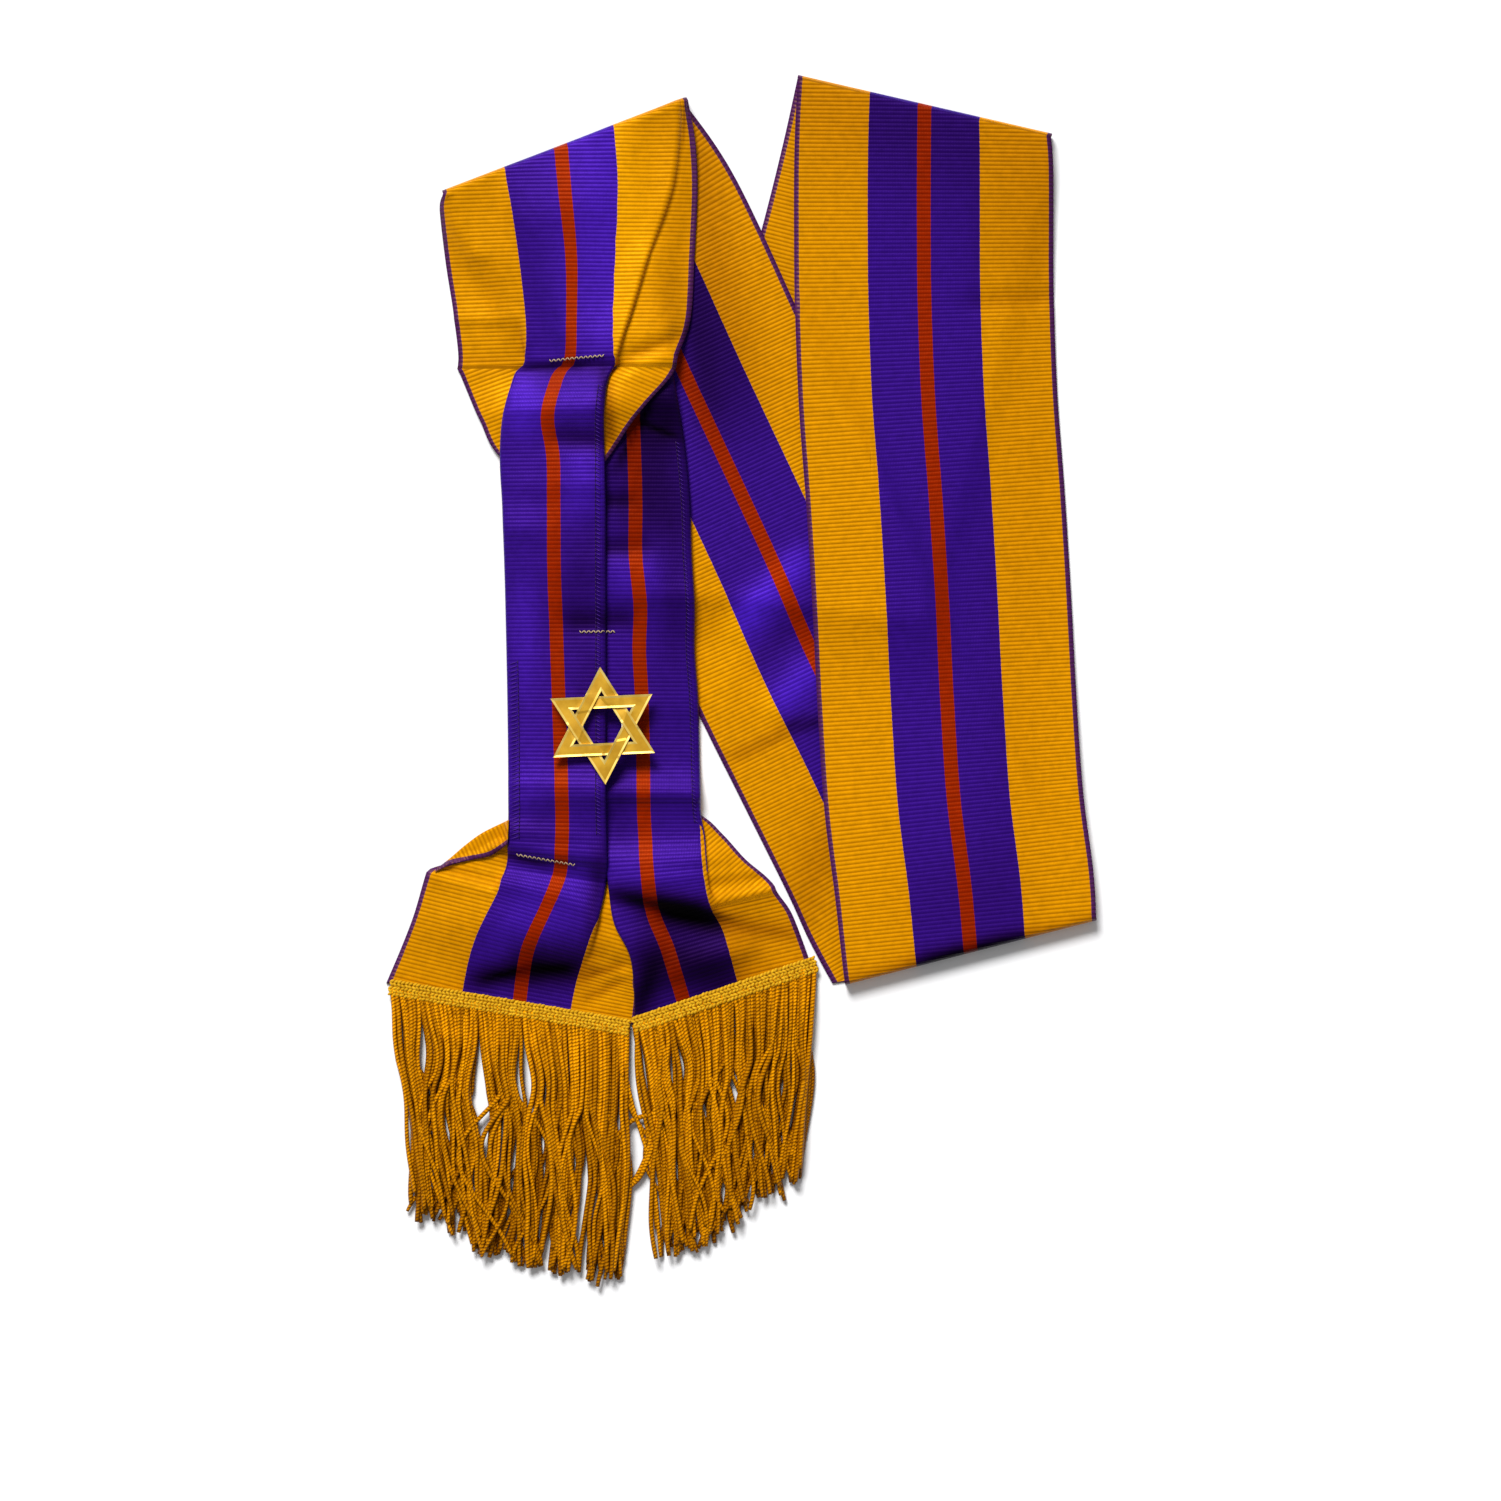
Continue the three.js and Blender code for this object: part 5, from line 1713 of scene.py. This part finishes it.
@dataclass
class StarBadge:
    """Six-pointed star of two interlaced triangles, cut from one bar that is copied round."""

    ribbon: Ribbon
    x: float = -54.1
    y: float = -16.9
    radius: float = 23.0
    bar: float = 4.7
    thickness: float = 1.5
    relief: float = 0.32
    groove: float = 0.28
    rim: float = 0.85
    clearance: float = 0.9
    ramp: float = 1.1  # over which the bar rises to a crossing
    bevel: float = 0.14
    tilt: float = 2.6
    below_box: float = 2.1  # from the top of the badge's box down to the star's back
    pins: tuple[Place, ...] = ((-8.6, 12.0), (8.4, 18.0))  # where each pin bar stands, and its length
    pin_width: float = 2.2
    pin_overlap: float = 0.8

    def __post_init__(self) -> None:
        """Works out the bar's middle line and where its crossings lie."""
        self.middle = (self.radius - self.bar) / 2
        self.crossing = self.middle * math.tan(SLANT)
        self.reach = self.bar / 2 / math.cos(SLANT) + self.clearance

    @staticmethod
    def cut(x: float, y: float, normal: Place, clear: bool) -> None:
        """Cuts the edited mesh along an upright plane, and may clear the side that it faces."""
        bpy.ops.mesh.select_all(action="SELECT")
        bpy.ops.mesh.bisect(plane_co=(x * MM, y * MM, 0), plane_no=(*normal, 0), clear_outer=clear)

    def bar_piece(self) -> Piece:
        """Makes one bar along X, open at its mitred tips, hollow on top and raised where it passes over.

        Returns:
            The bar, round the origin, in metres.
        """
        half = self.radius / 2 * math.sqrt(3)
        piece = block((0, self.middle, self.thickness / 2), (half * 2.2, self.bar, self.thickness))
        bpy.ops.object.transform_apply()
        bpy.ops.object.mode_set(mode="EDIT")
        for end in (-1, 1):
            self.cut(0, 0, (end * math.sin(SLANT), -math.cos(SLANT)), True)
        for place in (-1, 1):
            for edge in (-self.reach - self.ramp, -self.reach, self.reach, self.reach + self.ramp):
                facing = (math.cos(SLANT), math.sin(SLANT) * place)
                self.cut(place * self.crossing + edge, self.middle, facing, False)
        bpy.ops.object.mode_set(mode="OBJECT")
        # painted shade: the sunk middle of each bar gets this duller copy, and the rim keeps the pale gilt
        # as a painted highlight
        hollow = GiltFinish("hollow gilt in painted shade", (226, 174, 40), (190, 138, 12), 0.35)
        for finish in (GiltFinish(), hollow):
            piece.data.materials.append(finish.material())
        self.hollow_top(piece)
        self.weave(piece)
        return piece

    def hollow_top(self, piece: Piece) -> None:
        """Insets the bar's top along its long edges and sinks it, which leaves a rim, and gives the sunk
        part the duller finish as painted shade.

        Args:
            piece: the bar.
        """
        top = self.thickness * MM
        pick(piece, "FACE", lambda face: face.normal.z > 0.9 and face.center.z > top * 0.9)
        bpy.ops.mesh.inset(thickness=self.rim * MM, use_boundary=False, use_even_offset=True)
        bpy.ops.transform.translate(value=(0, 0, -self.groove * MM))
        piece.active_material_index = 1
        bpy.ops.object.material_slot_assign()
        bpy.ops.object.mode_set(mode="OBJECT")

    def near_crossing(self, corner: bpy.types.MeshVertex, place: int) -> bool:
        """Tells whether a corner of the bar's top lies at a crossing.

        Args:
            corner: the corner.
            place: -1 for the left crossing, 1 for the right one.

        Returns:
            Whether it moves with the crossing.
        """
        away = (corner.co.x / MM - place * self.crossing) * math.cos(SLANT)
        away += (corner.co.y / MM - self.middle) * math.sin(SLANT) * place
        return abs(away) < self.reach * math.cos(SLANT) + 0.35 and corner.co.z > 0.3 * MM

    def weave(self, piece: Piece) -> None:
        """Raises the bar at its right crossing and lowers it at its left one.

        Args:
            piece: the bar.
        """
        for place, change in ((-1, -0.7 * self.relief), (1, self.relief)):
            pick(piece, "VERT", lambda corner: self.near_crossing(corner, place))
            bpy.ops.transform.translate(value=(0, 0, change * MM))
            bpy.ops.object.mode_set(mode="OBJECT")

    def build(self) -> Piece:
        """Makes the star with its pin bars, sets it on the cloth and dresses it.

        Returns:
            The badge as one piece.
        """
        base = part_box("star_badge")[1].z - self.below_box * MM
        bar = self.bar_piece()
        bars = [bar]
        for k in range(1, 6):
            copy = bar.copy()
            copy.data = bar.data.copy()
            bpy.context.scene.collection.objects.link(copy)
            copy.rotation_euler.z = k * math.pi / 3
            bars.append(copy)
        joined(bars)
        bpy.ops.object.mode_set(mode="EDIT")
        bpy.ops.mesh.select_all(action="SELECT")
        bpy.ops.mesh.remove_doubles(threshold=0.02 * MM)
        bpy.ops.mesh.normals_make_consistent(inside=False)
        bpy.ops.object.mode_set(mode="OBJECT")
        bevel = bar.modifiers.new("soft edges", "BEVEL")
        bevel.width = self.bevel * MM
        bevel.segments = 2
        bevel.limit_method = "ANGLE"
        bevel.angle_limit = math.radians(40)
        bpy.ops.object.modifier_apply(modifier=bevel.name)
        pins = []
        for x, length in self.pins:
            drop = max(0.4, base / MM - self.ribbon.tops.highest(self.x + x, self.y, length / 2))
            pins.append(block((x, 0, -drop / 2), (self.pin_width, length, drop + self.pin_overlap)))
        joined([bar, *pins])
        bar.name = "star"
        bar.rotation_euler.z = math.radians(self.tilt)
        bar.location = ((self.x - CENTRE[0]) * MM, (self.y - CENTRE[1]) * MM, base)
        bpy.ops.object.transform_apply()
        bpy.ops.object.shade_smooth_by_angle(angle=math.radians(14))
        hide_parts("star_badge")
        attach(bar, "root")
        return bar


class SeamRun(NamedTuple):
    """A row of stitches along a tail's folded edge, at a distance inside it."""

    lay: Lay
    right: bool
    inward: float
    low: float
    high: float


@dataclass
class Stitching:
    """Sewn threads on the tails: seams along the folds and short bar tacks."""

    ribbon: Ribbon
    tacks: tuple[tuple[Place, Place], ...] = (
        ((-75.1, 125.8), (-53.5, 127.4)),
        ((-63.3, 19.8), (-49.4, 20.0)),
        ((-88.0, -67.4), (-65.0, -71.4)),
    )
    seams: tuple[SeamRun, ...] = (
        SeamRun(Lay.FRONT_TAIL, True, 2.3, -60, 118),
        SeamRun(Lay.FRONT_TAIL, False, 3.4, -62, 10),
        SeamRun(Lay.REAR_TAIL, True, 1.7, -55, 96),
    )
    tack_pitch: float = 0.9
    tack_radius: float = 0.24
    seam_pitch: float = 1.6
    seam_radius: float = 0.17
    whip_radius: float = 0.14
    tack_height: float = 0.12
    seam_height: float = 0.02
    thread_grid: tuple[int, int] = (5, 6)  # rings and sides

    def laid(self, place: Array, over: float) -> Array:
        """Gives a place on the table as a point over the cloth there."""
        return np.array([*place[:2], self.ribbon.surface(*place[:2]) + over])

    def threads(self, name: str, radius: float, spans: list[list[Array]]) -> Piece:
        """Makes short threads from end to end, each slightly arched.

        Args:
            name: the piece's name.
            radius: the threads' radius.
            spans: each thread's two ends.

        Returns:
            The threads as one piece.
        """
        rings, sides = self.thread_grid
        swell = np.sin(np.pi * np.linspace(0, 1, rings))
        size = radius * (0.55 + 0.45 * swell)
        points = []
        for start, end in spans:
            path = start + (end - start) * np.linspace(0, 1, rings)[:, None]
            path[:, 2] += radius * 0.9 * swell
            points.append(tube(path, unit(np.cross(end - start, UP)), UP, size, size, sides))
        return cord_piece(name, points, tube_faces(len(spans), rings, sides), 0.0, 1.0, 0.0, 0.95)

    def bar_tacks(self) -> Piece:
        """Makes the pale zigzag tacks that hold the pleats."""
        spans = []
        for tack in self.tacks:
            start, end = (np.array(place) for place in tack)
            count = round(math.dist(start, end) / self.tack_pitch)
            for k in range(count):
                a = start + (end - start) * k / count
                half = np.array([0, 0.5 if k % 2 else -0.5])
                b = a + [self.tack_pitch * 0.9, 0] + half
                spans.append([self.laid(place, self.tack_height) for place in (a - half, b)])
        return self.threads("bar_tacks", self.tack_radius, spans)

    def seam_spans(self, step: float, whipped: bool) -> list[list[Array]]:
        """Gives the ends of the stitches just inside the folded edges of both tails.

        Args:
            step: how far along the seam each stitch reaches.
            whipped: whether they slant over the edge; otherwise they lie in line inside it.

        Returns:
            Each stitch's two ends.
        """
        spans = []
        for seam in self.seams:
            cloth = self.ribbon.lays[seam.lay]
            edge = (cloth.x.shape[1] - self.ribbon.front_steps - 1) // 2
            column = edge + self.ribbon.front_steps if seam.right else edge
            sign = -1 if seam.right else 1
            rows = (cloth.y[:, column] > seam.low) & (cloth.y[:, column] < seam.high)
            path = np.column_stack([cloth.x[rows, column], cloth.y[rows, column], cloth.front[rows, column]])
            path = path[np.argsort(path[:, 1])]
            run = distance_along(path)
            inward = (0.35, seam.inward - 0.3) if whipped else (seam.inward, seam.inward)
            for at in np.arange(0, run[-1] - self.seam_pitch, self.seam_pitch):
                ends = []
                for d, inside in zip((0.0, step), inward):
                    x, y = (np.interp(at + d, run, path[:, k]) for k in (0, 1))
                    ends.append(self.laid(np.array([x + sign * inside, y]), self.seam_height))
                spans.append(ends)
        return spans

    def build(self) -> list[Piece]:
        """Makes the threads and dresses them.

        Returns:
            The tacks, the seams and the edge stitches.
        """
        straight = self.seam_spans(self.seam_pitch * 0.85, False)
        whipped = self.seam_spans(self.seam_pitch * 0.55, True)
        made = (
            (self.bar_tacks(), CordFinish("pale thread", (186, 162, 130), (104, 80, 76))),
            # the seam's running stitches are drawn dark so that they also stand for the shade in its groove:
            # real stitches with painted shade
            (
                self.threads("seam_threads", self.seam_radius, straight),
                CordFinish("dark thread and painted groove shade", (30, 9, 80), (20, 6, 54)),
            ),
            (
                self.threads("edge_stitches", self.whip_radius, whipped),
                CordFinish("purple thread", (62, 26, 142), (40, 14, 104)),
            ),
        )
        for piece, finish in made:
            piece.data.materials.append(finish.material())
            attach(piece, "root")
        return [piece for piece, _ in made]


@dataclass
class TurnedCorner:
    """The gold corner of the left fan that is turned over, with its selvedge lying across the flap."""

    ribbon: Ribbon
    fold: tuple[Place, ...] = (
        (-91.0, -53.6), (-101.3, -58.6), (-108.3, -63.6), (-113.9, -68.4), (-119.5, -72.9),
    )
    selvedge: tuple[Place, ...] = (
        (-91.4, -63.0), (-98.0, -67.6), (-105.4, -69.3), (-113.0, -70.9), (-120.0, -73.9),
    )
    wall: float = 0.8
    puff: float = 0.5
    # the corner's colour is drawn this much darker, through the cloth's painted light and shade
    tone: float = 0.85
    steps: tuple[int, int] = (36, 10)
    rib_angle: float = -66.0

    def build(self) -> Piece:
        """Makes the corner as a thin closed wall of the ribbon's own cloth.

        Returns:
            The corner.
        """
        u, v = (np.linspace(0, 1, n) for n in self.steps)
        knots = np.linspace(0, 1, len(self.fold))
        fold, edge = (
            np.stack([curve(u, knots, values) for values in np.array(line).T], -1)
            for line in (self.fold, self.selvedge)
        )
        plan = fold[:, None] + (edge - fold)[:, None] * v[None, :, None]
        under = self.ribbon.tops.at(plan[..., 0], plan[..., 1])
        top = under + self.wall + self.puff * np.sin(np.pi * v)[None, :] * np.sin(np.pi * u)[:, None]
        width = HALF_WIDTH - np.linalg.norm(edge - fold, axis=1)[:, None] * (1 - v)[None, :]
        turn = math.radians(self.rib_angle)
        ribs = plan[..., 1] * math.cos(turn) - plan[..., 0] * math.sin(turn)
        walls = [np.dstack([plan, z]).reshape(-1, 3) for z in (top, top - self.wall)]
        piece = mesh_piece("turned_corner", np.concatenate(walls), wall_faces(*self.steps))
        for name, values in zip(CLOTH_VALUES, (width, ribs, ribs, np.full_like(ribs, self.tone))):
            point_values(piece, name, [values, values])
        return piece


@dataclass
class Studio:
    """The pale table, the soft light and the camera straight above."""

    frame_width: float = 0.5886  # what the photograph's side spans on the table
    view_x: float = 0.0032
    view_y: float = -0.0277
    camera_height: float = 1.9
    sensor: float = 36.0
    table_size: float = 6.0
    window_from: Point = (-0.32, 0.95, 0.95)
    window_spread: float = 24.0  # how broad the window is seen, in degrees
    window_power: float = 4.0
    air: float = 0.3

    def build(self) -> None:
        """Makes the table, the light and the camera."""
        scene = bpy.context.scene
        bpy.ops.object.select_all(action="DESELECT")
        bpy.ops.mesh.primitive_plane_add(size=self.table_size, location=(0, 0, -0.2 * MM))
        table = bpy.context.active_object
        table.name = "table"
        bpy.ops.object.transform_apply()
        table.data.materials.append(TableFinish().material())
        data = bpy.data.cameras.new("camera")
        data.sensor_width = self.sensor
        data.lens = self.sensor * self.camera_height / self.frame_width
        scene.camera = self.placed("camera", data, (self.view_x, self.view_y, self.camera_height))
        self.window()
        world = bpy.data.worlds.new("studio air")
        world.use_nodes = True
        nodes = Nodes(world.node_tree)
        nodes.tune(world.node_tree.nodes["Background"], Color=(1, 1, 1, 1), Strength=self.air)
        scene.world = world
        scene.view_settings.view_transform = "Standard"

    @staticmethod
    def placed(name: str, data: bpy.types.ID, place: Point) -> Piece:
        """Makes an object from its data and sets it in the scene.

        Args:
            name: the object's name.
            data: its camera or light.
            place: where it stands, in metres.

        Returns:
            The object.
        """
        made = bpy.data.objects.new(name, data)
        made.location = place
        bpy.context.scene.collection.objects.link(made)
        return made

    def window(self) -> None:
        """Makes the broad even light, as from a high window."""
        data = bpy.data.lights.new("key", "SUN")
        data.angle = math.radians(self.window_spread)
        data.energy = self.window_power
        lamp = self.placed("key", data, self.window_from)
        lamp.rotation_euler = (-Vector(self.window_from)).to_track_quat("-Z", "Y").to_euler()


def main() -> None:
    """Builds the sash in order and reports each piece."""
    logging.basicConfig(level=logging.INFO, format="%(name)s: %(message)s")
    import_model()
    ribbon = Ribbon()
    finish = RibbonFinish().material()
    cloth, corner = ribbon.build(), TurnedCorner(ribbon).build()
    for piece in (cloth, corner):
        piece.data.materials.append(finish)
        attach(piece, "root")
    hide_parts("sash_ribbon")
    LOG.info("ribbon %d faces, %.0f mm long", len(cloth.data.polygons), ribbon.length)
    pieces = [corner]
    for plan in (LEFT_FRINGE, RIGHT_FRINGE):
        pieces += FringeMaker(plan, ribbon).build()
    pieces += Stitching(ribbon).build()
    pieces.append(StarBadge(ribbon).build())
    for piece in pieces:
        LOG.info("%s %d faces", piece.name, len(piece.data.polygons))
    Studio().build()


if __name__ == "__main__":
    main()
